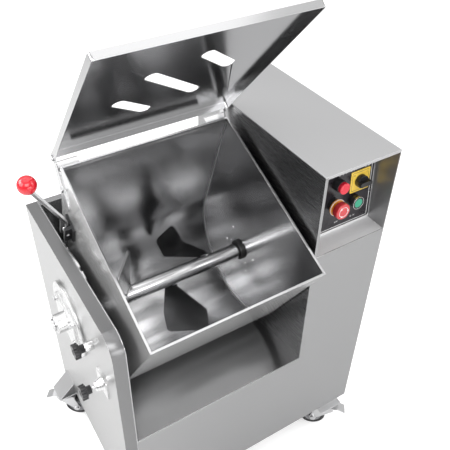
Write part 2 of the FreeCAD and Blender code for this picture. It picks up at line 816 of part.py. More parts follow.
def lock_plate():
    """Curved stops on the bay's left wall, with a gap for each tilt that the lever locks."""
    x0, x1 = bay_left + sheet, bay_left + sheet + lock_plate_thickness
    foot_radius = math.hypot(lever_along, lever_foot_height)
    foot_angle = math.degrees(math.atan2(lever_foot_height, lever_along))
    first, last = foot_angle + lock_stops[0] - 9, foot_angle + lock_stops[-1] + 9
    fan = [(axis_y, axis_z)]
    for k in range(5):
        fan.append(polar(300.0, first + (last - first) * k / 4))
    inner, outer = foot_radius - lock_plate_width / 2, foot_radius + lock_plate_width / 2
    band = ring(outer, inner, x0, x1, axis_y, axis_z)
    band = band.common(plate_yz(fan, x0, x1))
    half = lock_stub_radius + lock_play
    for stop in lock_stops:
        gap = box(x0, x1, axis_y + inner - half, axis_y + outer + half, axis_z - half, axis_z + half)
        band = band.cut(turned(gap, axis_y, axis_z, foot_angle + stop))
    return group(*band.Solids)


# Mixing shaft
def agitator_shaft():
    """Tube shaft with a driven stub on the right and a loose stub with a collar on the left."""
    gap = moving_gap
    shaft_end = trunnion_end - gap - collar_length
    tube = rod(shaft_radius, tub_left + gap, tub_right - gap, axis_y, axis_z)
    drive = rod(drive_stub_radius, tub_right - gap, gearbox_x1 + 4, axis_y, axis_z)
    loose = rod(loose_stub_radius, shaft_end, tub_left + gap, axis_y, axis_z)
    collar = rod(collar_radius, shaft_end, trunnion_end - gap, axis_y, axis_z)
    dimple = rod(collar_radius / 2, shaft_end, shaft_end + collar_length / 2, axis_y, axis_z)
    return fused(tube, drive, loose, collar).cut(dimple)


# Each blade's place along the tub as a share of its width, its angle round the shaft, its twist,
# the shift of its outer end along X and the width of that end
blades = ((0.213, 99.6, 48.6, -32.6, 100.0), (0.49, 255.0, 35.0, 26.0, 120.0),
          (0.748, 23.4, -55.5, -74.5, 80.0))


def blade(share, angle, twist, lean, width):
    """Flat blade that widens from the shaft towards the trough."""
    x = tub_left + share * tub_width
    limit = tub_radius - tub_sheet - blade_gap
    half = blade_thickness / 2
    root, tip = blade_root / 2, width / 2
    sweep = (tip + abs(lean)) * math.sin(math.radians(abs(twist))) + half
    reach = math.sqrt(limit ** 2 - sweep ** 2)
    neck, shoulder = shaft_radius + 8, 0.62 * reach
    points = [(-root, 0), (root, 0), (root, neck), (tip + lean, shoulder), (tip + lean, reach),
              (lean - tip, reach), (lean - tip, shoulder), (-root, neck)]
    plate = plate_xz([(x + a, axis_z + b) for a, b in points], axis_y - half, axis_y + half)
    plate = rounded(plate, blade_corner, Y_AXIS, lambda c: c.z > axis_z + shoulder - 1)
    plate.rotate(Vector(x, axis_y, axis_z), Z_AXIS, twist)
    plate = plate.cut(rod(shaft_radius, x - tub_width, x + tub_width, axis_y, axis_z))
    return turned(plate, axis_y, axis_z, angle - 90)


def agitator_blades():
    """Three blades welded to the shaft, each at its own place and angle."""
    return group(*[blade(*values) for values in blades])


# Controls, drawn on the upright panel and then leaned back with it
plate_thickness = 1.5


def panel_ring(place, outer, inner, near, far):
    """Ring on the panel between two distances in front of it."""
    x, z = control_centre(place)
    body = stud(outer, x, niche_back - far, niche_back - near, z)
    if inner:
        body = body.cut(stud(inner, x, niche_back - far, niche_back - near, z))
    return body


def control_plate():
    """Thin plate behind the controls with rounded corners."""
    x0, x1 = column_left + 11, right - 5
    z0, z1 = ledge + 8, top - 14
    plate = box(x0, x1, niche_back - plate_thickness, niche_back, z0, z1)
    plate = rounded(plate, 6.0, Y_AXIS)
    holes = []
    for place in control_places:
        holes.append(panel_ring(place, control_hole, 0, 0, plate_thickness))
    return on_panel(plate.cut(holes))


def control_body(place, bezel_radius, bezel_length, pocket_radius=0.0):
    """Bezel in front of the panel, barrel through it and contact block behind it."""
    x, z = control_centre(place)
    bezel = panel_ring(place, bezel_radius, 0, plate_thickness, bezel_length)
    barrel = panel_ring(place, control_hole - hole_gap, 0, -barrel_length, plate_thickness)
    block = box(x - block_half, x + block_half, niche_back + barrel_length,
                niche_back + barrel_length + 2 * block_half, z - 1.4 * block_half,
                z + 1.4 * block_half)
    body = fused(bezel, barrel, block).cut(panel_ring(place, cap_bore, 0, -6, bezel_length))
    if pocket_radius:
        pocket = panel_ring(place, pocket_radius, 0, bezel_length - pocket_depth, bezel_length)
        body = body.cut(pocket)
    return body


barrel_length = 18.0
block_half = 14.0
cap_bore = 9.5
pocket_depth = 5.0
stem_foot = 2.0
stop_bezel = 22.0
start_bezel = 23.0
emergency_bezel = 17.0
stop_cap_radius = 14.0
start_cap_radius = 11.5
press_travel = 3.0
switch_bezel_radius = 12.0
switch_plate_face = 3.0


def cap(place, radius, bezel_length, length):
    """Button cap that sits in its bezel's pocket with room for its travel, and its stem."""
    foot = bezel_length - pocket_depth + press_travel + moving_gap
    stem = panel_ring(place, cap_bore - running_fit, 0, stem_foot, foot)
    return fused(stem, panel_ring(place, radius, 0, foot, foot + length))


def button_bodies():
    """Bodies of the stop and start buttons, the switch and the emergency stop."""
    shapes = [control_body(stop_place, 15.5, stop_bezel, stop_cap_radius + moving_gap),
              control_body(start_place, 15.5, start_bezel, start_cap_radius + moving_gap),
              control_body(emergency_place, 16.0, emergency_bezel),
              control_body(switch_place, switch_bezel_radius, switch_plate_face)]
    return on_panel(group(*shapes))


def start_ring():
    """Bright ring round the front of the start button's bezel."""
    return on_panel(panel_ring(start_place, 16.5, 15.5, start_bezel - 4, start_bezel))


def stop_button():
    """Raised button cap with its stem."""
    return on_panel(cap(stop_place, stop_cap_radius, stop_bezel, 9.5))


def start_button():
    """Cap that is flush with its ring, with its stem."""
    return on_panel(cap(start_place, start_cap_radius, start_bezel, 1.2))


def switch_plate():
    """Square plate round the rotary switch."""
    x, z = control_centre(switch_place)
    half = 29.0
    near, far = niche_back - plate_thickness, niche_back - switch_plate_face
    plate = rounded(box(x - half, x + half, far, near, z - half, z + half), 3.0, Y_AXIS)
    return on_panel(plate.cut(stud(switch_bezel_radius + hole_gap, x, far, near, z)))


def switch_knob():
    """Round knob with a bar handle across it."""
    x, z = control_centre(switch_place)
    disc_face = switch_plate_face + moving_gap
    disc = panel_ring(switch_place, 16.5, 0, disc_face, 14)
    handle = box(x - 17, x + 17, niche_back - 26, niche_back - 13, z - 6, z + 6)
    handle = rounded(handle, 4.0, Y_AXIS)
    stem = panel_ring(switch_place, cap_bore - running_fit, 0, stem_foot, disc_face)
    return on_panel(fused(disc, handle, stem))


def emergency_collar():
    """Wide collar between the emergency stop's bezel and its head."""
    return on_panel(panel_ring(emergency_place, 21.5, cap_bore + 1, emergency_bezel,
                               emergency_bezel + 4))


def emergency_head():
    """Mushroom head of the emergency stop with its stem."""
    foot, face = 27.5, 42.5
    head = panel_ring(emergency_place, 20.5, 0, foot, face)
    crown = [e for e in head.Edges if abs(e.CenterOfMass.y - niche_back + face) < 0.1]
    head = head.makeFillet(4.0, crown)
    stem = panel_ring(emergency_place, cap_bore - running_fit, 0, stem_foot, foot)
    return on_panel(fused(head, stem))


control_places = (stop_place, start_place, emergency_place, switch_place)


# Casters
def caster_centre(corner):
    """X and Y of a caster's swivel: the left ones stand on outriggers past the side panel."""
    x = left - caster_left_reach if corner.endswith("left") else right - caster_right_inset
    y = front + caster_front_inset if corner.startswith("front") else back - caster_back_inset
    return x, y


race_bottom = bottom - 13.0
fork_top = race_bottom - moving_gap
fork_sheet = 4.0
fork_half = wheel_width / 2 + 2.5
cheek = 2.5
axle_radius = 4.0
kingpin_radius = 5.0
pedal_pin_radius = 2.0
pedal_eye_radius = 4.0
pedal_drop = 1.8
pedal_pivot = (-20.0, fork_top - fork_sheet - pedal_eye_radius - pedal_drop)
pedal_length = 45.0
crown_radius = 27.0
mount_half = 30.0
mount_sheet = 4.0
outrigger_height = 50.0


def outrigger(y):
    """Bent sheet from the side panel: a sloping face, and a flat foot under the cabinet."""
    x0, x1 = left - caster_left_reach - mount_half, bay_left + mount_half
    foot = box(x0, x1, y - mount_half, y + mount_half, bottom - mount_sheet, bottom)
    slope = plate_xz([(left, bottom + outrigger_height), (left, bottom + outrigger_height - mount_sheet),
                      (x0 + mount_sheet, bottom), (x0, bottom)], y - mount_half, y + mount_half)
    return fused(foot, slope)


def caster_plates():
    """Mounting plate or outrigger, swivel race and kingpin of each caster."""
    shapes = []
    for corner, angle in caster_turns:
        x, y = caster_centre(corner)
        if corner.endswith("left"):
            plate = outrigger(y)
        else:
            plate = box(x - 38, x + 38, y - mount_half, y + mount_half, bottom - mount_sheet, bottom)
            plate = rounded(plate, 5.0, Z_AXIS)
        race = post(24.0, x, y, race_bottom, bottom - mount_sheet)
        pin_end = fork_top - fork_sheet - moving_gap
        kingpin = post(kingpin_radius, x, y, pin_end, race_bottom)
        head = post(9.0, x, y, pin_end - 3, pin_end)
        shapes.append(fused(plate, race, kingpin, head))
    return group(*shapes)


def caster_fork():
    """Fork at the origin, trailing towards +X: crown, two legs, axle with nuts and pedal pin."""
    outer = fork_half + cheek
    crown = post(crown_radius, 0, 0, fork_top - fork_sheet, fork_top)
    arm = box(0, caster_trail, -outer, outer, fork_top - fork_sheet, fork_top)
    legs = []
    for y0 in (-outer, fork_half):
        leg = plate_xz([(-crown_radius, fork_top), (crown_radius, fork_top),
                        (caster_trail + 11, wheel_radius), (caster_trail + 6, wheel_radius - 10),
                        (caster_trail - 6, wheel_radius - 10), (caster_trail - 12, wheel_radius),
                        (-crown_radius, fork_top - 16)], y0, y0 + cheek)
        legs.append(leg)
    axle = stud(axle_radius, caster_trail, -outer - 5, outer + 5, wheel_radius)
    nuts = [stud(8.0, caster_trail, -outer - 5, -outer, wheel_radius),
            stud(8.0, caster_trail, outer, outer + 5, wheel_radius)]
    pin = stud(pedal_pin_radius, pedal_pivot[0], -outer, outer, pedal_pivot[1])
    fork = fused(crown, arm, *legs, axle, *nuts, pin)
    return fork.cut(post(kingpin_radius + running_fit, 0, 0, fork_top - fork_sheet, fork_top))


def caster_wheel():
    """Wheel at the fork's axle: crowned tyre, recessed sides and a hub with its bore."""
    half = wheel_width / 2
    tyre = stud(wheel_radius, caster_trail, -half, half, wheel_radius)
    rims = [e for e in tyre.Edges if abs(abs(e.CenterOfMass.y) - half) < 0.1]
    tyre = tyre.makeFillet(5.0, rims)
    for y0, y1 in ((-half, -half + 4), (half - 4, half)):
        recess = stud(26.0, caster_trail, y0, y1, wheel_radius)
        tyre = tyre.cut(recess.cut(stud(11.0, caster_trail, y0, y1, wheel_radius)))
    return tyre.cut(stud(axle_radius + running_fit, caster_trail, -half, half, wheel_radius))


def brake_pedal():
    """Bent brake plate that reaches out opposite the wheel, with the eye that it turns on."""
    x, z = pedal_pivot
    y = fork_half - 1
    tip = x - pedal_length
    low, high = z - 1.5, z + 1.5
    tread = plate_xz([(x, high), (tip + 22, high), (tip, high - 12), (tip, low - 12),
                      (tip + 23, low), (x, low)], -y, y)
    eye = stud(pedal_eye_radius, x, -y, y, z)
    return fused(tread, eye).cut(stud(pedal_pin_radius + running_fit, x, -y, y, z))


def placed_caster(shape, corner, angle):
    """Move a caster piece from the origin under its corner of the cabinet."""
    x, y = caster_centre(corner)
    moved = spun(shape, 0, 0, angle)
    moved.translate(Vector(x, y, 0))
    return moved


def export(name, shape, shift):
    """Write one piece to its file, moved to the frame of the record."""
    moved = shape.copy()
    moved.translate(shift)
    moved.exportStep("parts/" + name + ".step")


os.makedirs("parts", exist_ok=True)

pieces = {
    "side_panel": side_panel(), "cabinet_shell": cabinet_shell(), "bay_liner": bay_liner(),
    "column_wall": column_wall(), "control_niche": control_niche(),
    "housing_top_cover": housing_top_cover(), "rear_cover": rear_cover(),
    "bottom_plate": bottom_plate(), "bearing_disc": bearing_disc(),
    "bearing_flange": bearing_flange(), "flange_bolts": flange_bolts(),
    "right_bearing_housing": right_bearing_housing(), "drive_bracket": drive_bracket(),
    "gearbox": gearbox(), "motor": motor(), "electrical_box": electrical_box(),
    "cable_gland": cable_gland(), "clamp_bosses": clamp_bosses(),
    "star_knob_upper": star_knob(upper_knob, upper_boss_length, upper_bare_length),
    "star_knob_lower": star_knob(lower_knob, lower_boss_length, lower_bare_length),
    "knob_screw_upper": knob_screw(upper_knob, upper_boss_length, upper_bare_length),
    "knob_screw_lower": knob_screw(lower_knob, lower_boss_length, lower_bare_length),
    "tub_trough": tub_trough(), "tub_end_left": tub_end_left(), "tub_end_right": tub_end_right(),
    "trunnion_left": trunnion_left(), "trunnion_right": trunnion_right(),
    "shaft_seals": shaft_seals(), "tub_fasteners": tub_fasteners(),
    "lid_bracket_left": lid_bracket_left(), "lid_bracket_right": lid_bracket_right(),
    "lid_panel": lid_panel(), "lock_lever": lock_lever(), "lever_ball": lever_ball(),
    "lever_clevis": lever_clevis(), "lock_plate": lock_plate(),
    "agitator_shaft": agitator_shaft(), "agitator_blades": agitator_blades(),
    "control_plate": control_plate(), "button_bodies": button_bodies(),
    "stop_button": stop_button(), "start_button": start_button(), "start_ring": start_ring(),
    "switch_plate": switch_plate(), "switch_knob": switch_knob(), "emergency_collar": emergency_collar(),
    "emergency_head": emergency_head(), "caster_plates": caster_plates(),
}
for corner, angle in caster_turns:
    pieces["caster_fork_" + corner] = placed_caster(caster_fork(), corner, angle)
    pieces["caster_wheel_" + corner] = placed_caster(caster_wheel(), corner, angle)
    pieces["brake_pedal_" + corner] = placed_caster(brake_pedal(), corner, angle)
whole = group(*pieces.values()).BoundBox
to_middle = Vector(-(whole.XMin + whole.XMax) / 2, -(whole.YMin + whole.YMax) / 2, 0)
for node, shape in pieces.items():
    export(node, shape, to_middle)
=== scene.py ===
import json
import logging
import math
from collections.abc import Sequence
from dataclasses import dataclass, field
from enum import Enum

import bmesh
import bpy
from mathutils import Matrix, Vector


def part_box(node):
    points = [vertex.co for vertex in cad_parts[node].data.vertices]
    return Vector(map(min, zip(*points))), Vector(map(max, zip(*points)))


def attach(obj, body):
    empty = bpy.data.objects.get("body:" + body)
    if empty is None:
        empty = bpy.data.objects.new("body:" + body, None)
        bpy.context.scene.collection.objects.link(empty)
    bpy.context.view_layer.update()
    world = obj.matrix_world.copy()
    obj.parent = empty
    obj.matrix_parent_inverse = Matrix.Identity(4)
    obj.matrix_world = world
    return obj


Socket = bpy.types.NodeSocket
Sockets = bpy.types.bpy_prop_collection
Pair = tuple[float, float]
Triple = tuple[float, float, float]
Outline = Sequence[Pair]

LOG = logging.getLogger("meat_mixer")
MM = 0.001
CORNERS = ("front_left", "front_right", "rear_left", "rear_right")
TEXT_TO_CAPITAL = 1.43
CORNER_STEPS = 6
BROKEN_EDGE_ANGLE = math.radians(40)
SHARP_ANGLE = math.radians(35)

# Two lengths in millimetres, then two in metres
SHEET = 2.0
PRINT_RISE = 0.15
LETTER_SWELL = 0.00012
JOINED_CORNER_REACH = 0.00001

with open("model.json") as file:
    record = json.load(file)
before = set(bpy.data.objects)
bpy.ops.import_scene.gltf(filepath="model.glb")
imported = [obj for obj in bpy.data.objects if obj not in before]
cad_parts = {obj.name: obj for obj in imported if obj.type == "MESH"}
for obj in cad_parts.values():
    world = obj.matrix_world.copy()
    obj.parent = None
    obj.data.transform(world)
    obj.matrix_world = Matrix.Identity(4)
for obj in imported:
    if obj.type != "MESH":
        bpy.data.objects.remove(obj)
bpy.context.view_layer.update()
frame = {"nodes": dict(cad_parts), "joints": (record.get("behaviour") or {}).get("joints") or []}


class Grain(Enum):
    """The direction that a sheet's brushing runs in."""

    ALONG_X = (1.0, 60.0, 60.0)
    ALONG_Y = (60.0, 1.0, 60.0)
    ALONG_Z = (60.0, 60.0, 1.0)
    NONE = (40.0, 40.0, 40.0)


def mm(*values: float) -> Vector:
    """Turn millimetres into a vector in metres."""
    return Vector([value * MM for value in values])


def joint_place(name: str) -> tuple[Vector, Vector]:
    """Look a joint up in the frame and give a point on its axis and the axis."""
    joint = next(j for j in frame["joints"] if j["name"] == name)
    return Vector(joint["pos_m"]), Vector(joint["axis"]).normalized()


def stand_on(place: Vector, axis: Vector) -> Matrix:
    """Give the transform that puts a piece drawn about Z on a place, along an axis."""
    return Matrix.Translation(place) @ axis.to_track_quat("Z", "Y").to_matrix().to_4x4()


def on_axis(joint: str, x: float, way: float = 1.0) -> Matrix:
    """Give the transform of a piece drawn about Z that sits on a joint's axis at a place in X."""
    centre, axis = joint_place(joint)
    return stand_on(Vector((x, centre.y, centre.z)), axis * way)


class NodeBoard:
    """A node tree with short calls for adding nodes and wires."""

    def __init__(self, tree: bpy.types.NodeTree) -> None:
        """Keep the tree that the nodes go into."""
        self.tree = tree

    def add(self, kind: str, inputs: dict[object, object] | None = None,
            **settings: object) -> bpy.types.Node:
        """Add a node.

        Args:
            kind: Blender's type name of the node.
            inputs: what goes into its inputs.
            settings: attributes of the node to set.

        Returns:
            The new node.
        """
        node = self.tree.nodes.new(kind)
        for name, value in settings.items():
            setattr(node, name, value)
        self.fill(node, inputs or {})
        return node

    def fill(self, node: bpy.types.Node, inputs: dict[object, object]) -> None:
        """Fill inputs of a node, by label or number.

        Args:
            node: the node.
            inputs: what goes into them: a socket or a value.
        """
        for label, value in inputs.items():
            if isinstance(value, Socket):
                self.tree.links.new(value, node.inputs[label])
            else:
                node.inputs[label].default_value = value

    def effect(self, tree: bpy.types.NodeTree, inputs: dict[object, object]) -> bpy.types.Node:
        """Place a node group and fill its inputs."""
        return self.add("ShaderNodeGroup", inputs, node_tree=tree)

    def math(self, operation: str, first: object, second: object) -> Socket:
        """Give the result of a math node on two values, each a socket or a number."""
        return self.add("ShaderNodeMath", {0: first, 1: second}, operation=operation).outputs[0]

    def vector(self, operation: str, *values: object) -> Socket:
        """Give the result of a vector math node on values, each a socket or a vector."""
        node = self.add("ShaderNodeVectorMath", dict(enumerate(values)), operation=operation)
        return node.outputs["Value" if operation in ("LENGTH", "DOT_PRODUCT") else "Vector"]

    def spread(self, value: Socket, low: float, high: float, to_low: object = 0.0,
               to_high: object = 1.0) -> Socket:
        """Map a value from a range to another, clamped, whose ends are sockets or numbers."""
        ends = {"From Min": low, "From Max": high, "To Min": to_low, "To Max": to_high}
        return self.add("ShaderNodeMapRange", {"Value": value, **ends}).outputs["Result"]

    def noise(self, place: Socket, scale: float, detail: float = 3.0) -> Socket:
        """Give a noise from 0 to 1 by its features to a metre and its number of finer layers."""
        inputs = {"Vector": place, "Scale": scale, "Detail": detail}
        return self.add("ShaderNodeTexNoise", inputs).outputs["Fac"]

    def blend(self, share: object, first: object, second: object) -> Socket:
        """Mix two colours, each a socket or a colour, by the share of the second."""
        inputs = {"Factor": share, 6: first, 7: second}
        return self.add("ShaderNodeMix", inputs, data_type="RGBA").outputs[2]

    def bump(self, height: Socket, strength: object, distance: float) -> Socket:
        """Give the normal of a relief by its strength and its depth in metres."""
        inputs = {"Height": height, "Strength": strength, "Distance": distance}
        return self.add("ShaderNodeBump", inputs).outputs["Normal"]

    def for_camera(self, seen: Socket, mirrored: Socket, end: bpy.types.Node) -> None:
        """Show the camera one shader and all other rays another.

        Args:
            seen: the camera's shader.
            mirrored: the shader of the other rays.
            end: the tree's last node.
        """
        camera_ray = self.add("ShaderNodeLightPath").outputs["Is Camera Ray"]
        mix = self.add("ShaderNodeMixShader", {0: camera_ray, 1: mirrored, 2: seen})
        self.fill(end, {0: mix.outputs[0]})


def grey(tone: float, blue: float = 1.0) -> tuple[float, float, float, float]:
    """Give a grey as a colour, its blue part multiplied to cool it."""
    return (tone, tone, tone * blue, 1.0)


SURFACE_OUTPUTS = {"Color": "NodeSocketColor", "Roughness": "NodeSocketFloat",
                   "Normal": "NodeSocketVector"}
MASK_OUTPUT = {"Mask": "NodeSocketFloat"}
NOISE_MEAN = 0.5
STREAKS_TO_METRE = 34.0
CLOUDS_TO_METRE = 3.5
RINGS_TO_METRE = 700.0
DRIFTS_TO_METRE = 45.0
PEBBLES_TO_METRE = 900.0
STEEL_RELIEF = 0.0002
PEBBLE_RELIEF = 0.0003
MARK_SPAN = (0.1, 0.9)
RING_SPAN = (0.3, 0.7)
RING_DEPTH = 0.1
EDGE_SPAN = (0.97, 0.8)
FACING_SPAN = (0.78, 0.88)
FADE_SPAN = (0.35, 0.7)
GLOSS_SPAN = (0.3, 0.7)


class EffectLibrary:
    """The shader node groups that several finishes share, each built once."""

    def __init__(self) -> None:
        """Build all the groups."""
        self.brushed_sheet = self._brushed_sheet()
        self.turned_face = self._turned_face()
        self.edge_wear_and_highlight = self._edge_wear_and_highlight()
        self.facing = self._facing()
        self.moulded_skin = self._moulded_skin()

    @staticmethod
    def _group(name: str, inputs: dict[str, object],
               outputs: dict[str, str]) -> tuple[NodeBoard, Sockets, bpy.types.Node]:
        """Make an empty group with its sockets.

        Args:
            name: the group's name.
            inputs: default value of each input, a number, a vector or a colour.
            outputs: socket type of each output.

        Returns:
            The group's board, what it is given and its last node.
        """
        tree = bpy.data.node_groups.new(name, "ShaderNodeTree")
        for label, value in inputs.items():
            kind = "NodeSocketFloat"
            if isinstance(value, tuple):
                kind = "NodeSocketVector" if len(value) == 3 else "NodeSocketColor"
            socket = tree.interface.new_socket(label, in_out="INPUT", socket_type=kind)
            socket.default_value = value
        for label, kind in outputs.items():
            tree.interface.new_socket(label, in_out="OUTPUT", socket_type=kind)
        board = NodeBoard(tree)
        return board, board.add("NodeGroupInput").outputs, board.add("NodeGroupOutput")

    def _brushed_sheet(self) -> bpy.types.NodeTree:
        """Fine streaks along one direction and faint clouds of handling marks.

        Returns:
            The group.
        """
        board, given, result = self._group(
            "brushed_sheet",
            {"Stretch": (1.0, 60.0, 60.0), "Light": grey(0.7), "Dark": grey(0.5), "Smooth": 0.2,
             "Rough": 0.35, "Cloud Share": 0.5, "Streak Depth": 0.1}, SURFACE_OUTPUTS)
        place = board.add("ShaderNodeTexCoord").outputs["Object"]
        stretched = board.add("ShaderNodeMapping", {"Vector": place, "Scale": given["Stretch"]})
        streaks = board.noise(stretched.outputs["Vector"], STREAKS_TO_METRE)
        lift = board.math("SUBTRACT", board.noise(place, CLOUDS_TO_METRE), NOISE_MEAN)
        marks = board.math("ADD", streaks, board.math("MULTIPLY", lift, given["Cloud Share"]))
        board.fill(result, {
            "Color": board.blend(board.spread(marks, *MARK_SPAN), given["Dark"], given["Light"]),
            "Roughness": board.spread(marks, *MARK_SPAN, given["Smooth"], given["Rough"]),
            "Normal": board.bump(streaks, given["Streak Depth"], STEEL_RELIEF)})
        return board.tree

    def _turned_face(self) -> bpy.types.NodeTree:
        """Fine rings of lathe work about a line along X.

        Returns:
            The group.
        """
        board, given, result = self._group(
            "turned_face",
            {"Centre": (0.0, 0.0, 0.0), "Light": grey(0.7), "Dark": grey(0.5), "Smooth": 0.2,
             "Rough": 0.35}, SURFACE_OUTPUTS)
        place = board.add("ShaderNodeTexCoord").outputs["Object"]
        from_centre = board.vector("SUBTRACT", place, given["Centre"])
        radius = board.vector("LENGTH", board.vector("MULTIPLY", from_centre, (0.0, 1.0, 1.0)))
        along = board.add("ShaderNodeSeparateXYZ", {0: place}).outputs["X"]
        lane = board.add("ShaderNodeCombineXYZ", {0: radius, 1: along}).outputs[0]
        rings = board.noise(lane, RINGS_TO_METRE)
        board.fill(result, {
            "Color": board.blend(board.spread(rings, *RING_SPAN), given["Dark"], given["Light"]),
            "Roughness": board.spread(rings, *RING_SPAN, given["Smooth"], given["Rough"]),
            "Normal": board.bump(rings, RING_DEPTH, STEEL_RELIEF)})
        return board.tree

    def _edge_wear_and_highlight(self) -> bpy.types.NodeTree:
        """Mask of the outer edges, which get a lighter tone: partly wear from handling, partly a
        painted highlight.

        Returns:
            The group.
        """
        board, given, result = self._group("edge_wear_and_highlight", {"Reach": 0.0015}, MASK_OUTPUT)
        soft = board.add("ShaderNodeBevel", {"Radius": given["Reach"]}, samples=4)
        sharp = board.add("ShaderNodeNewGeometry")
        turn = board.vector("DOT_PRODUCT", soft.outputs["Normal"], sharp.outputs["Normal"])
        board.fill(result, {"Mask": board.spread(turn, *EDGE_SPAN)})
        return board.tree

    def _facing(self) -> bpy.types.NodeTree:
        """Mask of the faces that look one way, on which a lighter tone is painted as painted
        light.

        Returns:
            The group.
        """
        board, given, result = self._group("facing", {"Direction": (1.0, 0.0, 0.0)}, MASK_OUTPUT)
        normal = board.add("ShaderNodeTexCoord").outputs["Normal"]
        turn = board.vector("DOT_PRODUCT", normal, given["Direction"])
        board.fill(result, {"Mask": board.spread(turn, *FACING_SPAN)})
        return board.tree

    def _moulded_skin(self) -> bpy.types.NodeTree:
        """Fine pebble and faint colour drift of a moulded or rubber surface.

        Returns:
            The group.
        """
        board, given, result = self._group(
            "moulded_skin",
            {"Colour": grey(0.5), "Faded": grey(0.6), "Smooth": 0.2, "Rough": 0.4,
             "Pebble": 0.05}, SURFACE_OUTPUTS)
        place = board.add("ShaderNodeTexCoord").outputs["Object"]
        drift = board.noise(place, DRIFTS_TO_METRE)
        pebble = board.noise(place, PEBBLES_TO_METRE, detail=2.0)
        board.fill(result, {
            "Color": board.blend(board.spread(drift, *FADE_SPAN), given["Colour"], given["Faded"]),
            "Roughness": board.spread(drift, *GLOSS_SPAN, given["Smooth"], given["Rough"]),
            "Normal": board.bump(pebble, given["Pebble"], PEBBLE_RELIEF)})
        return board.tree


WHITE = (1.0, 1.0, 1.0, 1.0)
# Lighter tone of outer steel edges: partly polish from handling, partly a painted highlight.
POLISH_AND_HIGHLIGHT_EDGE = (0.86, 0.86, 0.87, 1.0)
STEEL_BLUE = 1.01
# Share and reach of the lighter edge tone on moulded pieces: partly wear, partly a painted
# highlight.
WEAR_AND_HIGHLIGHT_SHARE = 0.35
WEAR_AND_HIGHLIGHT_REACH = 0.0008


def open_material(name: str) -> tuple[bpy.types.Material, NodeBoard, bpy.types.Node]:
    """Start a material.

    Args:
        name: its name.

    Returns:
        The material, its board and its shader.
    """
    made = bpy.data.materials.new(name)
    made.use_nodes = True
    return made, NodeBoard(made.node_tree), made.node_tree.nodes["Principled BSDF"]


@dataclass(frozen=True)
class SteelFinish:
    """A brushed or polished steel surface, and the lighter, less metallic tone that may be painted
    on its faces turned one way: painted light.
    """

    name: str
    light: float
    dark: float
    smooth: float
    rough: float
    grain: Grain = Grain.NONE
    cloud_share: float = 0.2
    streak_depth: float = 0.006
    metal: float = 1.0
    edge_reach: float = 0.0015
    # Faces turned this way are painted a lighter, less metallic tone: painted light.
    painted_light_way: Triple | None = None
    painted_light_tone: float = 0.8
    painted_light_metal: float = 0.4

    def material(self, effects: EffectLibrary) -> bpy.types.Material:
        """Build the material.

        Args:
            effects: the shared node groups.

        Returns:
            The new material.
        """
        made, board, shader = open_material(self.name)
        metal = self.metal
        sheet = board.effect(effects.brushed_sheet, {
            "Stretch": self.grain.value, "Light": grey(self.light, STEEL_BLUE),
            "Dark": grey(self.dark, STEEL_BLUE), "Smooth": self.smooth, "Rough": self.rough,
            "Cloud Share": self.cloud_share, "Streak Depth": self.streak_depth})
        tone = sheet.outputs["Color"]
        # Painted light: faces turned one way get a lighter, less metallic tone.
        if self.painted_light_way is not None:
            painted_light_mask = board.effect(effects.facing, {"Direction": self.painted_light_way}).outputs["Mask"]
            tone = board.blend(painted_light_mask, tone, grey(self.painted_light_tone))
            metal = board.spread(painted_light_mask, 0.0, 1.0, self.metal, self.painted_light_metal)
        # Outer edges lightened: partly polish, partly a painted highlight.
        edge = board.effect(effects.edge_wear_and_highlight, {"Reach": self.edge_reach}).outputs["Mask"]
        board.fill(shader, {
            "Base Color": board.blend(edge, tone, POLISH_AND_HIGHLIGHT_EDGE), "Metallic": metal,
            "Roughness": sheet.outputs["Roughness"], "Normal": sheet.outputs["Normal"]})
        return made


@dataclass(frozen=True)
class TurnedFinish:
    """A steel face turned on a lathe about a line along X, which spreads its gloss into fans."""

    name: str
    centre_joint: str
    light: float
    dark: float
    smooth: float
    rough: float
    spread: float = 0.6

    def material(self, effects: EffectLibrary) -> bpy.types.Material:
        """Build the material.

        Args:
            effects: the shared node groups.

        Returns:
            The new material.
        """
        made, board, shader = open_material(self.name)
        face = board.effect(effects.turned_face, {
            "Centre": joint_place(self.centre_joint)[0], "Light": grey(self.light),
            "Dark": grey(self.dark), "Smooth": self.smooth, "Rough": self.rough})
        # Outer edges lightened: partly polish, partly a painted highlight.
        edge = board.effect(effects.edge_wear_and_highlight, {}).outputs["Mask"]
        tangent = board.add("ShaderNodeTangent", direction_type="RADIAL", axis="X")
        board.fill(shader, {
            "Base Color": board.blend(edge, face.outputs["Color"], POLISH_AND_HIGHLIGHT_EDGE),
            "Metallic": 1.0, "Anisotropic": self.spread, "Tangent": tangent.outputs[0],
            "Roughness": face.outputs["Roughness"], "Normal": face.outputs["Normal"]})
        return made


@dataclass(frozen=True)
class MouldedFinish:
    """A plastic, rubber or painted surface."""

    name: str
    colour: Triple
    faded: Triple
    smooth: float
    rough: float
    pebble: float = 0.05
    coat: float = 0.0
    # Lighter edge colour: partly wear, partly a painted highlight.
    wear_and_highlight: Triple = (0.5, 0.5, 0.5)

    def material(self, effects: EffectLibrary) -> bpy.types.Material:
        """Build the material.

        Args:
            effects: the shared node groups.

        Returns:
            The new material.
        """
        made, board, shader = open_material(self.name)
        skin = board.effect(effects.moulded_skin, {
            "Colour": (*self.colour, 1.0), "Faded": (*self.faded, 1.0), "Smooth": self.smooth,
            "Rough": self.rough, "Pebble": self.pebble})
        # Outer edges lightened: partly wear, partly a painted highlight.
        edge = board.effect(effects.edge_wear_and_highlight, {"Reach": WEAR_AND_HIGHLIGHT_REACH}).outputs["Mask"]
        share = board.math("MULTIPLY", edge, WEAR_AND_HIGHLIGHT_SHARE)
        board.fill(shader, {
            "Base Color": board.blend(share, skin.outputs["Color"], (*self.wear_and_highlight, 1.0)),
            "Coat Weight": self.coat, "Roughness": skin.outputs["Roughness"],
            "Normal": skin.outputs["Normal"]})
        return made


# Lighter red of the edges: partly wear, partly a painted highlight.
RED_WEAR_AND_HIGHLIGHT = (0.8, 0.2, 0.2)
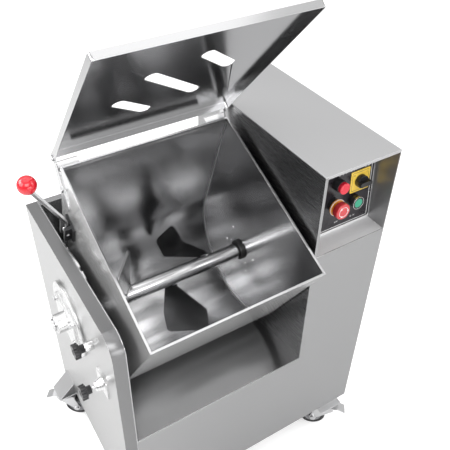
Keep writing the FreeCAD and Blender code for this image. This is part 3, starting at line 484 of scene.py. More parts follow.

# Several steel finishes are copies of one stainless steel, lighter or darker by part: painted
# light and shade.
FINISHES = (
    SteelFinish("front_sheet_steel", 0.36, 0.34, 0.34, 0.42, Grain.ALONG_X, metal=0.85),
    # Side panel, rear cover and bottom plate painted dark: painted shade.
    SteelFinish("side_sheet_steel", 0.24, 0.21, 0.28, 0.36, Grain.ALONG_Z, metal=0.9,
                painted_light_way=(-1.0, 0.0, 0.0), painted_light_tone=0.46, painted_light_metal=0.9),
    SteelFinish("column_side_steel", 0.38, 0.36, 0.24, 0.3, Grain.ALONG_Y),
    # Niche painted light and less metallic: painted light in the recess.
    SteelFinish("niche_steel", 0.78, 0.74, 0.42, 0.52, Grain.ALONG_X, metal=0.35),
    SteelFinish("top_sheet_steel", 0.52, 0.5, 0.42, 0.5, Grain.ALONG_Y, metal=0.8),
    SteelFinish("bay_steel", 0.4, 0.38, 0.16, 0.22, Grain.ALONG_X, metal=0.95),
    SteelFinish("tub_steel", 0.58, 0.56, 0.2, 0.24, Grain.ALONG_X, cloud_share=0.05,
                painted_light_way=(0.0, -0.5, -0.87), painted_light_tone=0.66, painted_light_metal=0.7),
    SteelFinish("tub_end_steel", 0.58, 0.56, 0.16, 0.2, Grain.ALONG_Y, cloud_share=0.05,
                painted_light_way=(-1.0, 0.0, 0.0), painted_light_tone=0.68, painted_light_metal=0.65),
    # Right end wall a lighter copy of the end wall steel: painted light.
    SteelFinish("tub_right_end_steel", 0.64, 0.62, 0.16, 0.2, Grain.ALONG_Y, cloud_share=0.05),
    SteelFinish("lid_steel", 0.56, 0.53, 0.14, 0.18, Grain.ALONG_X),
    SteelFinish("shaft_steel", 0.66, 0.6, 0.18, 0.26, Grain.ALONG_X, streak_depth=0.05),
    SteelFinish("small_steel", 0.7, 0.62, 0.18, 0.28, streak_depth=0.05),
    # Blades painted dark: painted shade inside the tub.
    SteelFinish("blade_steel", 0.26, 0.22, 0.14, 0.2, edge_reach=0.004),
    SteelFinish("weld_steel", 0.72, 0.55, 0.25, 0.4, streak_depth=0.3),
    SteelFinish("zinc_plating", 0.72, 0.62, 0.26, 0.42, cloud_share=0.8, streak_depth=0.05),
    SteelFinish("cast_iron", 0.18, 0.1, 0.5, 0.65, cloud_share=0.8, streak_depth=0.3),
    TurnedFinish("turned_bearing_steel", "agitator_spin", 0.74, 0.62, 0.2, 0.3),
    TurnedFinish("turned_lower_boss_steel", "knob_lower_turn", 0.8, 0.7, 0.2, 0.3, 0.3),
    MouldedFinish("black_knob_plastic", (0.011, 0.011, 0.012), (0.022, 0.022, 0.024), 0.28, 0.42),
    MouldedFinish("caster_rubber", (0.014, 0.014, 0.015), (0.035, 0.035, 0.035), 0.5, 0.7, 0.2),
    MouldedFinish("hub_plastic", (0.2, 0.2, 0.21), (0.28, 0.28, 0.29), 0.4, 0.55, 0.1),
    MouldedFinish("seal_rubber", (0.01, 0.01, 0.01), (0.022, 0.022, 0.022), 0.4, 0.6),
    MouldedFinish("red_ball_plastic", (0.62, 0.008, 0.02), (0.68, 0.016, 0.03), 0.08, 0.14,
                  0.01, coat=0.6, wear_and_highlight=RED_WEAR_AND_HIGHLIGHT),
    MouldedFinish("red_cap_plastic", (0.62, 0.01, 0.03), (0.68, 0.02, 0.045), 0.2, 0.32,
                  0.02, coat=0.2, wear_and_highlight=RED_WEAR_AND_HIGHLIGHT),
    MouldedFinish("red_head_plastic", (0.5, 0.02, 0.025), (0.58, 0.04, 0.05), 0.12, 0.22,
                  0.02, coat=0.5, wear_and_highlight=RED_WEAR_AND_HIGHLIGHT),
    MouldedFinish("green_cap_plastic", (0.006, 0.25, 0.14), (0.01, 0.31, 0.18), 0.2, 0.32,
                  0.02, coat=0.2, wear_and_highlight=(0.2, 0.6, 0.4)),
    MouldedFinish("yellow_plastic", (0.82, 0.55, 0.06), (0.88, 0.62, 0.1), 0.3, 0.45, 0.02,
                  wear_and_highlight=(0.9, 0.8, 0.4)),
    MouldedFinish("orange_plastic", (0.8, 0.3, 0.03), (0.86, 0.36, 0.05), 0.3, 0.45, 0.02,
                  wear_and_highlight=(0.9, 0.6, 0.3)),
    MouldedFinish("plate_black", (0.016, 0.014, 0.017), (0.026, 0.023, 0.028), 0.24, 0.36, 0.02),
    MouldedFinish("pale_print", (0.72, 0.72, 0.72), (0.8, 0.8, 0.8), 0.4, 0.5, 0.01),
    MouldedFinish("dark_print", (0.02, 0.018, 0.012), (0.035, 0.03, 0.02), 0.4, 0.5, 0.01),
    MouldedFinish("motor_paint", (0.03, 0.07, 0.13), (0.04, 0.09, 0.16), 0.35, 0.5),
    MouldedFinish("grey_paint", (0.32, 0.33, 0.34), (0.38, 0.39, 0.4), 0.4, 0.55),
)


@dataclass
class Workshop:
    """Makes, dresses and mounts the pieces of every sub-assembly."""

    effects: EffectLibrary = field(default_factory=EffectLibrary)
    materials: dict[str, bpy.types.Material] = field(default_factory=dict)

    def finish(self, name: str) -> bpy.types.Material:
        """Give a finish's material, made at its first use.

        Args:
            name: the finish's name.

        Returns:
            The material.
        """
        if name not in self.materials:
            finish = next(f for f in FINISHES if f.name == name)
            self.materials[name] = finish.material(self.effects)
        return self.materials[name]

    def dress(self, finish: str, *nodes: str, edge: float = 0.6) -> None:
        """Give nodes their material and break their sharp edges.

        Args:
            finish: the finish's name.
            nodes: the nodes' names.
            edge: width of the broken edge in millimetres.
        """
        for node in nodes:
            piece = frame["nodes"][node]
            piece.data.materials.clear()
            piece.data.materials.append(self.finish(finish))
            weld = piece.modifiers.new("joined_corners", "WELD")
            weld.merge_threshold = JOINED_CORNER_REACH
            bevel = piece.modifiers.new("broken_edges", "BEVEL")
            bevel.width = edge * MM
            bevel.segments = 2
            bevel.limit_method = "ANGLE"
            bevel.angle_limit = BROKEN_EDGE_ANGLE
            bevel.harden_normals = True
            LOG.info("dressed %s in %s", node, finish)

    def mount(self, data: bpy.types.ID, body: str, finish: str, slot: str,
              place: Matrix | None = None) -> None:
        """Put a new piece, named like its mesh or curve, in its place and let it ride.

        Args:
            data: its mesh or curve.
            body: the body that carries it.
            finish: the finish's name.
            slot: the record's material slot that it belongs to; not used.
            place: where it goes, none if it is drawn in its place.
        """
        piece = bpy.data.objects.new(data.name, data)
        bpy.context.scene.collection.objects.link(piece)
        if place is not None:
            piece.matrix_world = place
        data.materials.clear()
        data.materials.append(self.finish(finish))
        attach(piece, body)
        LOG.info("mounted %s on %s", data.name, body)


def close_mesh(name: str, shape: bmesh.types.BMesh) -> bpy.types.Mesh:
    """Turn a shape into a mesh whose faces look outwards and whose shallow edges are smooth.

    Args:
        name: the mesh's name.
        shape: the shape, which is used up.

    Returns:
        The mesh.
    """
    bmesh.ops.recalc_face_normals(shape, faces=shape.faces)
    mesh = bpy.data.meshes.new(name)
    shape.to_mesh(mesh)
    shape.free()
    mesh.shade_smooth()
    mesh.set_sharp_from_angle(angle=SHARP_ANGLE)
    return mesh


def skin_rows(shape: bmesh.types.BMesh, rows: list[list[bmesh.types.BMVert]],
              close: bool) -> None:
    """Lay faces between rows of points, where a row of one point is a pole.

    Args:
        shape: the shape that gets the faces.
        rows: the rows, each going once round.
        close: whether the last row joins the first.
    """
    count = max(len(row) for row in rows)
    following = rows[1:] + rows[:1] if close else rows[1:]
    for first, second in zip(rows, following):
        for k in range(count):
            corners = [first[k % len(first)], first[(k + 1) % len(first)],
                       second[(k + 1) % len(second)], second[k % len(second)]]
            corners = list(dict.fromkeys(corners))
            if len(corners) > 2:
                shape.faces.new(corners)


def lathe(name: str, outline: Outline, steps: int = 48, close: bool = True) -> bpy.types.Mesh:
    """Turn an outline once about Z.

    Args:
        name: the mesh's name.
        outline: radius and height pairs in millimetres, in order round the section.
        steps: how many faces go round.
        close: whether the outline closes on itself rather than ending on the axis.

    Returns:
        The closed mesh.
    """
    shape = bmesh.new()
    rows = []
    for radius, height in outline:
        row = []
        for k in range(steps if radius else 1):
            angle = 2 * math.pi * k / steps
            row.append(shape.verts.new(mm(radius * math.cos(angle), radius * math.sin(angle),
                                          height)))
        rows.append(row)
    skin_rows(shape, rows, close)
    return close_mesh(name, shape)


def band(inner: float, outer: float, low: float, high: float, soft: float = 0.3) -> Outline:
    """Section of a flat ring with softened corners, in millimetres."""
    return [(inner, low), (outer - soft, low), (outer, low + soft), (outer, high - soft),
            (outer - soft, high), (inner + soft, high), (inner, high - soft)]


def rounded_outline(width: float, height: float, radius: float) -> Outline:
    """Give the corners of a rectangle with round corners about the origin.

    Args:
        width: its width in millimetres.
        height: its height in millimetres.
        radius: its corners' radius in millimetres.

    Returns:
        X and Y pairs, in order.
    """
    points = []
    for quarter, (side, rise) in enumerate(((1, 1), (-1, 1), (-1, -1), (1, -1))):
        for k in range(CORNER_STEPS + 1):
            angle = math.pi / 2 * (quarter + k / CORNER_STEPS)
            points.append((side * (width / 2 - radius) + radius * math.cos(angle),
                           rise * (height / 2 - radius) + radius * math.sin(angle)))
    return points


def border(name: str, width: float, height: float, radius: float, line: float) -> bpy.types.Mesh:
    """Thin printed frame with round corners, drawn in X and Y.

    Args:
        name: the mesh's name.
        width: outer width in millimetres.
        height: outer height in millimetres.
        radius: outer corner radius in millimetres.
        line: width of the frame's line in millimetres.

    Returns:
        The closed mesh.
    """
    outer = rounded_outline(width, height, radius)
    inner = rounded_outline(width - 2 * line, height - 2 * line, radius - line / 2)
    shape = bmesh.new()
    rows = []
    for outline, rise in ((outer, 0.0), (outer, PRINT_RISE), (inner, PRINT_RISE), (inner, 0.0)):
        rows.append([shape.verts.new(mm(x, y, rise)) for x, y in outline])
    skin_rows(shape, rows, close=True)
    return close_mesh(name, shape)


def bead(name: str, points: list[Vector], radius: float, closed: bool = False) -> bpy.types.Curve:
    """Round bead of weld along a line of points.

    Args:
        name: the curve's name.
        points: the line's points in metres.
        radius: the bead's radius in millimetres.
        closed: whether the line comes back to its start.

    Returns:
        The curve.
    """
    curve = bpy.data.curves.new(name, "CURVE")
    curve.dimensions = "3D"
    curve.bevel_depth = radius * MM
    curve.bevel_resolution = 2
    curve.use_fill_caps = not closed
    line = curve.splines.new("POLY")
    line.points.add(len(points) - 1)
    for point, place in zip(line.points, points):
        point.co = (*place, 1.0)
    line.use_cyclic_u = closed
    return curve


def lettering(name: str, words: str, height: float, spacing: float = 1.0) -> bpy.types.Mesh:
    """Raised letters, centred on the origin and drawn in X and Y.

    Args:
        name: the mesh's name.
        words: what is written.
        height: height of a capital in millimetres.
        spacing: how widely the letters are set, 1 for close.

    Returns:
        The mesh.
    """
    text = bpy.data.curves.new(name, "FONT")
    text.body = words
    text.size = height * MM * TEXT_TO_CAPITAL
    text.space_character = spacing
    text.align_x = "CENTER"
    text.align_y = "CENTER"
    text.extrude = PRINT_RISE * MM / 2
    text.offset = LETTER_SWELL
    drawn = bpy.data.objects.new(name + "_drawn", text)
    mesh = bpy.data.meshes.new_from_object(drawn)
    mesh.transform(Matrix.Translation(mm(0.0, 0.0, PRINT_RISE / 2)))
    bpy.data.objects.remove(drawn)
    bpy.data.curves.remove(text)
    mesh.name = name
    return mesh


@dataclass
class Casing:
    """Side panel, shell, bay, drive column and covers."""

    shop: Workshop
    seam_length: float = 26.0
    seam_radius: float = 0.9
    seam_out: float = 0.4

    def build(self) -> None:
        """Dress the sheets and lay the short weld where ledge, front and column wall meet."""
        self.shop.dress("front_sheet_steel", "cabinet_shell")
        self.shop.dress("side_sheet_steel", "side_panel", "rear_cover", "bottom_plate")
        self.shop.dress("column_side_steel", "column_wall")
        self.shop.dress("niche_steel", "control_niche")
        self.shop.dress("bay_steel", "bay_liner")
        self.shop.dress("top_sheet_steel", "housing_top_cover")
        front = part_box("cabinet_shell")[0].y
        wall_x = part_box("column_wall")[0].x
        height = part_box("control_niche")[0].z + SHEET * MM
        start = Vector((wall_x, front, height)) + mm(SHEET, self.seam_out, -self.seam_out)
        points = [start, start + mm(self.seam_length, 0.0, 0.0)]
        self.shop.mount(bead("ledge_corner_weld", points, self.seam_radius), "frame",
                        "weld_steel", "casing_steel")


@dataclass(frozen=True)
class PlateWord:
    """A word on the control plate: where its middle is, how high and how widely it is set."""

    name: str
    words: str
    across: float
    up: float
    height: float
    spacing: float


PLATE_WORDS = (
    PlateWord("stop_words", "OFF", 102.0, 157.5, 4.6, 3.2),
    PlateWord("switch_off_word", "OFF", 69.0, 158.0, 4.2, 2.4),
    PlateWord("switch_on_word", "ON", 28.0, 157.5, 4.2, 2.6),
    PlateWord("emergency_word", "OFF", 110.0, 26.0, 3.6, 1.3),
    PlateWord("start_word", "ON", 59.0, 25.5, 4.2, 2.6),
)


@dataclass
class ControlPanel:
    """Plate, buttons, switch and their printing, drawn on the leaned panel."""

    shop: Workshop
    lean: float = 4.3
    niche_depth: float = 55.0
    plate_face: float = 1.5
    plate_middle: Pair = (108.0, 111.5)
    plate_border: tuple[float, ...] = (193.0, 199.0, 4.0, 1.6)
    switch: Pair = (47.0, 124.0)
    switch_face: float = 3.0
    switch_border: tuple[float, ...] = (50.0, 50.0, 3.0, 0.9)
    number_place: Pair = (19.0, 18.0)
    number_height: float = 5.0
    emergency: Pair = (127.0, 85.0)
    collar_face: float = 21.0
    rim_radii: Pair = (20.6, 21.9)
    rim_sink: float = 1.2
    rim_width: float = 1.6
    head_face: float = 42.5
    ring_radii: Pair = (12.0, 13.2)
    ring_rise: float = 0.3
    arrow_count: int = 3
    arrow_corners: Outline = ((9.6, 0.0), (15.6, 0.0), (12.6, 0.42))
    arrow_rise: float = 0.35

    def place(self, across: float, up: float, out: float) -> Matrix:
        """Give the transform of a piece on the panel.

        Args:
            across: distance from the cabinet's right side in millimetres.
            up: height above the ledge along the panel in millimetres.
            out: distance in front of the panel in millimetres.

        Returns:
            The transform, with Z out of the panel.
        """
        shell_low, shell_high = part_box("cabinet_shell")
        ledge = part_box("control_niche")[0].z + SHEET * MM
        foot = Vector((shell_high.x, shell_low.y + self.niche_depth * MM, ledge))
        turn = Matrix.Rotation(math.radians(90.0 - self.lean), 4, "X")
        return Matrix.Translation(foot) @ turn @ Matrix.Translation(mm(-across, up, out))

    def build(self) -> None:
        """Dress the controls and add their printing."""
        self.shop.dress("plate_black", "control_plate", edge=0.3)
        self.shop.dress("black_knob_plastic", "button_bodies", "switch_knob", edge=0.8)
        self.shop.dress("red_cap_plastic", "stop_button", edge=1.6)
        self.shop.dress("red_head_plastic", "emergency_head", edge=1.2)
        self.shop.dress("green_cap_plastic", "start_button", edge=0.8)
        self.shop.dress("small_steel", "start_ring", edge=0.3)
        self.shop.dress("yellow_plastic", "switch_plate", edge=0.4)
        self.shop.dress("orange_plastic", "emergency_collar", edge=0.6)
        self._plate_printing()
        self._switch_printing()
        self._emergency_marks()

    def _plate_printing(self) -> None:
        """Border line and the words beside the controls."""
        self.shop.mount(border("plate_border", *self.plate_border), "frame", "pale_print",
                        "plate_plastic", self.place(*self.plate_middle, self.plate_face))
        for word in PLATE_WORDS:
            self.shop.mount(lettering(word.name, word.words, word.height, word.spacing), "frame",
                            "pale_print", "plate_plastic",
                            self.place(word.across, word.up, self.plate_face))

    def _switch_printing(self) -> None:
        """Dark outline and numbers on the yellow plate."""
        across, up = self.switch
        self.shop.mount(border("switch_outline", *self.switch_border), "frame", "dark_print",
                        "yellow_plastic", self.place(across, up, self.switch_face))
        aside, above = self.number_place
        for name, words, side in (("switch_zero", "0", aside), ("switch_one", "1", -aside)):
            self.shop.mount(lettering(name, words, self.number_height), "frame",
                            "dark_print", "yellow_plastic",
                            self.place(across + side, up + above, self.switch_face))

    def _emergency_marks(self) -> None:
        """Pale rim of the collar, and the pale ring with its turning marks on the head."""
        rim = lathe("emergency_collar_rim", band(*self.rim_radii, 0.0, self.rim_width))
        self.shop.mount(rim, "frame", "pale_print", "yellow_plastic",
                        self.place(*self.emergency, self.collar_face - self.rim_sink))
        face = self.place(*self.emergency, self.head_face)
        ring = lathe("emergency_ring", band(*self.ring_radii, 0.0, self.ring_rise, soft=0.1))
        self.shop.mount(ring, "emergency", "pale_print", "red_plastic", face)
        shape = bmesh.new()
        for k in range(self.arrow_count):
            turn = 2 * math.pi * k / self.arrow_count
            rows = []
            for rise in (0.0, self.arrow_rise):
                row = [shape.verts.new(mm(radius * math.cos(turn + angle),
                                          radius * math.sin(turn + angle), rise))
                       for radius, angle in self.arrow_corners]
                rows.append(row)
                shape.faces.new(row)
            skin_rows(shape, rows, close=False)
        self.shop.mount(close_mesh("emergency_arrows", shape), "emergency", "pale_print",
                        "red_plastic", face)


@dataclass
class Tub:
    """Trough, end walls, seams and lid brackets."""

    shop: Workshop
    radius: float = 194.0
    half_mouth: float = 229.5
    rim: float = 313.0
    tilt: float = 24.5
    bead_radius: float = 1.5
    bead_inset: float = 0.8
    rim_stop: float = 12.0
    seam_steps: int = 40

    def build(self) -> None:
        """Dress the tub and lay the welds of its end walls."""
        self.shop.dress("tub_steel", "tub_trough")
        self.shop.dress("tub_end_steel", "tub_end_left")
        self.shop.dress("tub_right_end_steel", "tub_end_right")
        self.shop.dress("small_steel", "lid_bracket_left", "lid_bracket_right", "tub_fasteners",
                        "trunnion_left", "trunnion_right")
        self.shop.dress("seal_rubber", "shaft_seals")
        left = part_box("tub_end_left")[0].x + (SHEET + self.bead_inset) * MM
        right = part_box("tub_end_right")[1].x - (SHEET + self.bead_inset) * MM
        for side, x in (("left", left), ("right", right)):
            self.shop.mount(bead("tub_seam_" + side, self._seam(x), self.bead_radius), "tub",
                            "weld_steel", "tub_steel")

    def _seam(self, x: float) -> list[Vector]:
        """Points along the U of an end wall, from the rear rim down and up to the front rim.

        Args:
            x: the seam's place along the shaft in metres.

        Returns:
            The points, turned to the tub's drawn tilt.
        """
        centre, _ = joint_place("tub_tilt")
        radius = self.radius - self.bead_inset
        mouth = self.half_mouth - self.bead_inset
        flare = math.acos(radius / math.hypot(mouth, self.rim)) - math.atan2(self.rim, mouth)
        end = (mouth - self.rim_stop * math.tan(flare), self.rim - self.rim_stop)
        flat = [end]
        for k in range(self.seam_steps + 1):
            angle = -flare - (math.pi - 2 * flare) * k / self.seam_steps
            flat.append((radius * math.cos(angle), radius * math.sin(angle)))
        flat.append((-end[0], end[1]))
        tilt = Matrix.Rotation(math.radians(self.tilt), 4, "X")
        foot = Vector((x, centre.y, centre.z))
        return [foot + tilt @ mm(0.0, along, height) for along, height in flat]


@dataclass
class Lid:
    """The raised lid and its hinge."""

    shop: Workshop
    clip_radii: Pair = (2.0, 5.0)
    clip_sink: float = 0.2
    clip_rise: float = 0.6

    def build(self) -> None:
        """Dress the lid and clip its hinge pins."""
        self.shop.dress("lid_steel", "lid_panel", edge=0.5)
        for side, node, way in (("left", "lid_bracket_left", -1.0),
                                ("right", "lid_bracket_right", 1.0)):
            low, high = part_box(node)
            end = low.x if way < 0 else high.x
            section = band(*self.clip_radii, -self.clip_sink, self.clip_rise, soft=0.2)
            self.shop.mount(lathe("hinge_clip_" + side, section, steps=24), "tub", "small_steel",
                            "tub_steel", on_axis("lid_hinge", end, way))


@dataclass(frozen=True)
class Blade:
    """Where a blade stands: its share of the tub's width, its angle and twist in degrees."""

    share: float
    angle: float
    twist: float


@dataclass
class MixingShaft:
    """Shaft, blades and the welds between them."""

    shop: Workshop
    tub_width: float = 436.0
    shaft_radius: float = 21.2
    blade_half: float = 2.5
    root_half: float = 17.0
    bead_radius: float = 1.8
    bead_out: float = 0.4
    root_steps: int = 10
    blades: tuple[Blade, ...] = (Blade(0.213, 99.6, 48.6), Blade(0.49, 255.0, 35.0),
                                 Blade(0.748, 23.4, -55.5))

    def build(self) -> None:
        """Dress the shaft and the blades and lay the welds."""
        self.shop.dress("shaft_steel", "agitator_shaft")
        self.shop.dress("blade_steel", "agitator_blades")
        for k, blade in enumerate(self.blades, 1):
            weld = bead("blade_weld_%d" % k, self._root(blade), self.bead_radius, closed=True)
            self.shop.mount(weld, "agitator", "weld_steel", "blade_steel")

    def _root(self, blade: Blade) -> list[Vector]:
        """Points round the foot of a blade on the shaft.

        Args:
            blade: where the blade stands.

        Returns:
            The points, once round.
        """
        centre, _ = joint_place("agitator_spin")
        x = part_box("tub_end_left")[0].x + blade.share * self.tub_width * MM
        foot = Vector((x, centre.y, centre.z))
        off = self.blade_half + self.bead_out
        turn = Matrix.Rotation(math.radians(blade.angle - 90.0), 4, "X")
        twist = math.radians(blade.twist)
        steps = self.root_steps
        sides = [(k / steps, off) for k in range(-steps, steps + 1)]
        sides += [(-along, -off) for along, _ in sides]
        points = []
        for along, side in sides:
            run = along * self.root_half
            across = run * math.sin(twist) + side * math.cos(twist)
            rise = math.sqrt(self.shaft_radius ** 2 - across ** 2)
            shift = run * math.cos(twist) - side * math.sin(twist)
            points.append(foot + turn @ mm(shift, across, rise))
        return points


@dataclass
class Bearings:
    """Left bearing, its bolts, the clamping knobs and what is hidden in the column."""

    shop: Workshop
    screw_radius: float = 5.0
    thread_pitch: float = 1.5
    thread_depth: float = 0.35
    thread_root: float = 0.02
    thread_wall: float = 0.8
    thread_end: float = 0.2
    thread_run_in: float = 0.6
    crest_shares: Pair = (0.4, 0.6)
    cap_outline: Outline = ((0.0, -0.6), (7.0, -0.6), (7.0, 0.5), (5.4, 1.1), (3.0, 1.5),
                            (0.0, 1.6))

    def build(self) -> None:
        """Dress the bearings, knobs and drive, and add the lower screw's thread and the caps."""
        self.shop.dress("turned_bearing_steel", "bearing_disc", "bearing_flange")
        self.shop.dress("small_steel", "flange_bolts", "knob_screw_upper", "knob_screw_lower",
                        "lock_plate")
        self.shop.dress("turned_lower_boss_steel", "clamp_bosses")
        self.shop.dress("black_knob_plastic", "star_knob_upper", "star_knob_lower", edge=0.9)
        self.shop.dress("cast_iron", "right_bearing_housing")
        self.shop.dress("motor_paint", "motor")
        self.shop.dress("grey_paint", "gearbox", "electrical_box", "drive_bracket")
        self.shop.dress("black_knob_plastic", "cable_gland")
        self._thread()
        self._knob_caps()

    def _thread(self) -> None:
        """Thread on the bare length of the lower screw, between its boss and the knob."""
        _, knob_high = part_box("star_knob_lower")
        boss_low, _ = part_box("clamp_bosses")
        length = (boss_low.x - knob_high.x) / MM
        crest, root = self.screw_radius + self.thread_depth, self.screw_radius + self.thread_root
        inside, end = root - self.thread_wall, self.thread_end
        outline = [(root, end)]
        rise = self.thread_run_in
        while rise + self.thread_pitch < length - 2 * end:
            outline.append((root, rise))
            outline += [(crest, rise + self.thread_pitch * share) for share in self.crest_shares]
            rise += self.thread_pitch
        outline += [(root, length - end), (inside, length - end), (inside, end)]
        self.shop.mount(lathe("lower_screw_thread", outline, steps=24), "knob_lower",
                        "small_steel", "turned_steel", on_axis("knob_lower_turn", knob_high.x))

    def _knob_caps(self) -> None:
        """Domed caps on the outer faces of the star knobs."""
        for name in ("upper", "lower"):
            knob_low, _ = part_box("star_knob_" + name)
            cap = lathe("knob_cap_" + name, self.cap_outline, steps=32, close=False)
            self.shop.mount(cap, "knob_" + name, "black_knob_plastic", "black_plastic",
                            on_axis("knob_%s_turn" % name, knob_low.x, -1.0))


@dataclass
class LockLever:
    """The red-balled lever and its block."""

    shop: Workshop
    lever_half: float = 7.0
    cheek_gap: float = 0.5
    cheek: float = 9.0
    head_outline: Outline = ((0.0, 0.0), (5.2, 0.0), (5.2, 1.0), (4.2, 1.8), (0.0, 2.2))

    def build(self) -> None:
        """Dress the lever and its block and put heads on its pivot pin."""
        self.shop.dress("small_steel", "lock_lever", edge=1.2)
        self.shop.dress("red_ball_plastic", "lever_ball")
        self.shop.dress("black_knob_plastic", "lever_clevis", edge=0.9)
        centre, axis = joint_place("lever_swing")
        reach = (self.lever_half + self.cheek_gap + self.cheek) * MM
        for name, way in (("front", -1.0), ("rear", 1.0)):
            head = lathe("lever_pin_" + name, self.head_outline, steps=24, close=False)
            self.shop.mount(head, "tub", "small_steel", "turned_steel",
                            stand_on(centre + axis * way * reach, axis * way))


@dataclass
class Casters:
    """Four braked swivel casters."""

    shop: Workshop
    half_width: float = 13.5
    recess: float = 4.0
    recess_radius: float = 26.0
    hub_radius: float = 11.0
    hub_gap: float = 0.2
    rim_gap: float = 0.3
    rim_rise: float = 2.6
    web_rise: float = 1.0
    hub_rise: float = 2.2
    rib: float = 2.0

    def build(self) -> None:
        """Dress the casters and fit the wheels' cover discs."""
        self.shop.dress("zinc_plating", "caster_plates", edge=0.8)
        for corner in CORNERS:
            self.shop.dress("zinc_plating", "caster_fork_" + corner, edge=0.5)
            self.shop.dress("zinc_plating", "brake_pedal_" + corner, edge=0.8)
            self.shop.dress("caster_rubber", "caster_wheel_" + corner, edge=0.8)
            self._discs(corner)

    def _discs(self, corner: str) -> None:
        """Ribbed discs in both recesses of a wheel.

        Args:
            corner: the caster's corner of the cabinet.
        """
        centre, axis = joint_place("roll_" + corner)
        foot = self.half_width - self.recess
        inner, outer = self.hub_radius + self.hub_gap, self.recess_radius - self.rim_gap
        rim, web, hub = foot + self.rim_rise, foot + self.web_rise, foot + self.hub_rise
        outline = [(inner, foot), (outer, foot), (outer, rim), (outer - self.rib, rim),
                   (outer - 2 * self.rib, web), (inner + 2 * self.rib, web),
                   (inner + self.rib, hub), (inner, hub)]
        for side, way in (("near", -1.0), ("far", 1.0)):
            self.shop.mount(lathe("wheel_disc_%s_%s" % (corner, side), outline),
                            "wheel_" + corner, "hub_plastic", "caster_rubber",
                            stand_on(centre, axis * way))


@dataclass(frozen=True)
class Lamp:
    """A soft box: where it hangs in metres, its size, its power in watts and where it aims."""

    name: str
    place: Triple
    size: Pair
    power: float
    target: Triple = (0.0, 0.0, 0.7)


LAMPS = (
    Lamp("left_soft_box", (-2.6, 0.0, 2.2), (2.0, 1.6), 30.0),
    Lamp("left_floor_box", (-1.9, 1.3, 2.0), (1.4, 1.4), 34.0, (-1.1, 0.6, 0.0)),
    Lamp("right_soft_box", (2.6, -1.6, 2.0), (1.2, 1.8), 16.0),
    Lamp("top_soft_box", (0.2, 0.4, 3.2), (3.2, 2.6), 20.0),
    Lamp("front_soft_box", (-0.8, -2.6, 2.9), (2.4, 1.6), 44.0),
    Lamp("low_soft_box", (0.2, -2.4, 0.9), (2.0, 0.7), 16.0),
)


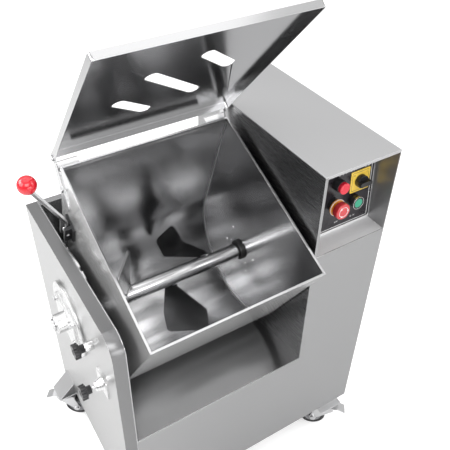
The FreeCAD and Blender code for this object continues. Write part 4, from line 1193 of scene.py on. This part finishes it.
@dataclass
class Studio:
    """The floor, the soft light and the camera."""

    shop: Workshop
    camera_left_of_side: float = 954.1
    camera_before_front: float = 761.7
    camera_height: float = 1760.0
    camera_right: Triple = (0.85574, -0.51734, 0.00782)
    camera_up: Triple = (0.31924, 0.53982, 0.77890)
    lens: float = 48.95
    shift: Pair = (0.0228, -0.0295)
    sensor: float = 36.0
    nearest: float = 0.05
    floor_size: float = 30.0
    floor_seen: float = 0.92
    floor_rough: float = 0.9
    floor_glow: float = 0.3
    floor_mirrored: float = 0.75
    room_low: Pair = (0.5, 0.16)
    room_high: Pair = (0.85, 1.0)

    def build(self) -> None:
        """Build the whole studio."""
        self._camera()
        self._floor()
        self._sky()
        self._lamps()

    def _camera(self) -> None:
        """Place the camera at the photograph's angle."""
        data = bpy.data.cameras.new("camera")
        data.lens = self.lens
        data.sensor_width = self.sensor
        data.shift_x, data.shift_y = self.shift
        data.clip_start = self.nearest
        camera = bpy.data.objects.new("camera", data)
        shell_low, shell_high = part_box("cabinet_shell")
        eye = Vector((shell_high.x - self.camera_left_of_side * MM,
                      shell_low.y - self.camera_before_front * MM, self.camera_height * MM))
        right = Vector(self.camera_right).normalized()
        up = Vector(self.camera_up)
        up = (up - right * right.dot(up)).normalized()
        turn = Matrix((right, up, right.cross(up))).transposed()
        camera.matrix_world = Matrix.Translation(eye) @ turn.to_4x4()
        bpy.context.scene.collection.objects.link(camera)
        bpy.context.scene.camera = camera

    def _floor(self) -> None:
        """Lay the floor, white to the camera and a softer grey in the steel's reflections."""
        mesh = bpy.data.meshes.new("studio_floor")
        half = self.floor_size / 2
        corners = [(-half, -half, 0.0), (half, -half, 0.0), (half, half, 0.0), (-half, half, 0.0)]
        mesh.from_pydata(corners, [], [(0, 1, 2, 3)])
        floor = bpy.data.objects.new("studio_floor", mesh)
        bpy.context.scene.collection.objects.link(floor)
        made, board, seen = open_material("pale_floor")
        board.fill(seen, {"Base Color": grey(self.floor_seen), "Roughness": self.floor_rough,
                          "Emission Color": WHITE, "Emission Strength": self.floor_glow})
        mirrored = board.add("ShaderNodeBsdfDiffuse", {"Color": grey(self.floor_mirrored)})
        board.for_camera(seen.outputs[0], mirrored.outputs[0],
                         made.node_tree.nodes["Material Output"])
        mesh.materials.append(made)

    def _sky(self) -> None:
        """White surroundings for the camera, and a soft grey room for the reflections."""
        world = bpy.data.worlds.new("studio_world")
        world.use_nodes = True
        bpy.context.scene.world = world
        board = NodeBoard(world.node_tree)
        seen = world.node_tree.nodes["Background"]
        board.fill(seen, {"Color": WHITE})
        place = board.add("ShaderNodeTexCoord").outputs["Generated"]
        height = board.add("ShaderNodeSeparateXYZ", {0: place}).outputs["Z"]
        ramp = board.add("ShaderNodeValToRGB", {"Fac": board.spread(height, -1.0, 1.0)})
        for stop, (position, tone) in zip(ramp.color_ramp.elements,
                                          (self.room_low, self.room_high)):
            stop.color = grey(tone)
            stop.position = position
        room = board.add("ShaderNodeBackground", {"Color": ramp.outputs["Color"]})
        board.for_camera(seen.outputs[0], room.outputs[0],
                         world.node_tree.nodes["World Output"])

    def _lamps(self) -> None:
        """Hang the soft boxes."""
        for box in LAMPS:
            data = bpy.data.lights.new(box.name, "AREA")
            data.shape = "RECTANGLE"
            data.size, data.size_y = box.size
            data.energy = box.power
            lamp = bpy.data.objects.new(box.name, data)
            lamp.location = box.place
            aim = Vector(box.target) - Vector(box.place)
            lamp.rotation_mode = "QUATERNION"
            lamp.rotation_quaternion = aim.to_track_quat("-Z", "Y")
            bpy.context.scene.collection.objects.link(lamp)


def main() -> None:
    """Build the studio and every sub-assembly in order."""
    logging.basicConfig(level=logging.INFO)
    bpy.context.scene.view_settings.view_transform = "Standard"
    shop = Workshop()
    for assembly in (Studio, Casing, ControlPanel, Tub, Lid, MixingShaft, Bearings, LockLever,
                     Casters):
        assembly(shop).build()
        LOG.info("built the %s", assembly.__name__)


if __name__ == "__main__":
    main()
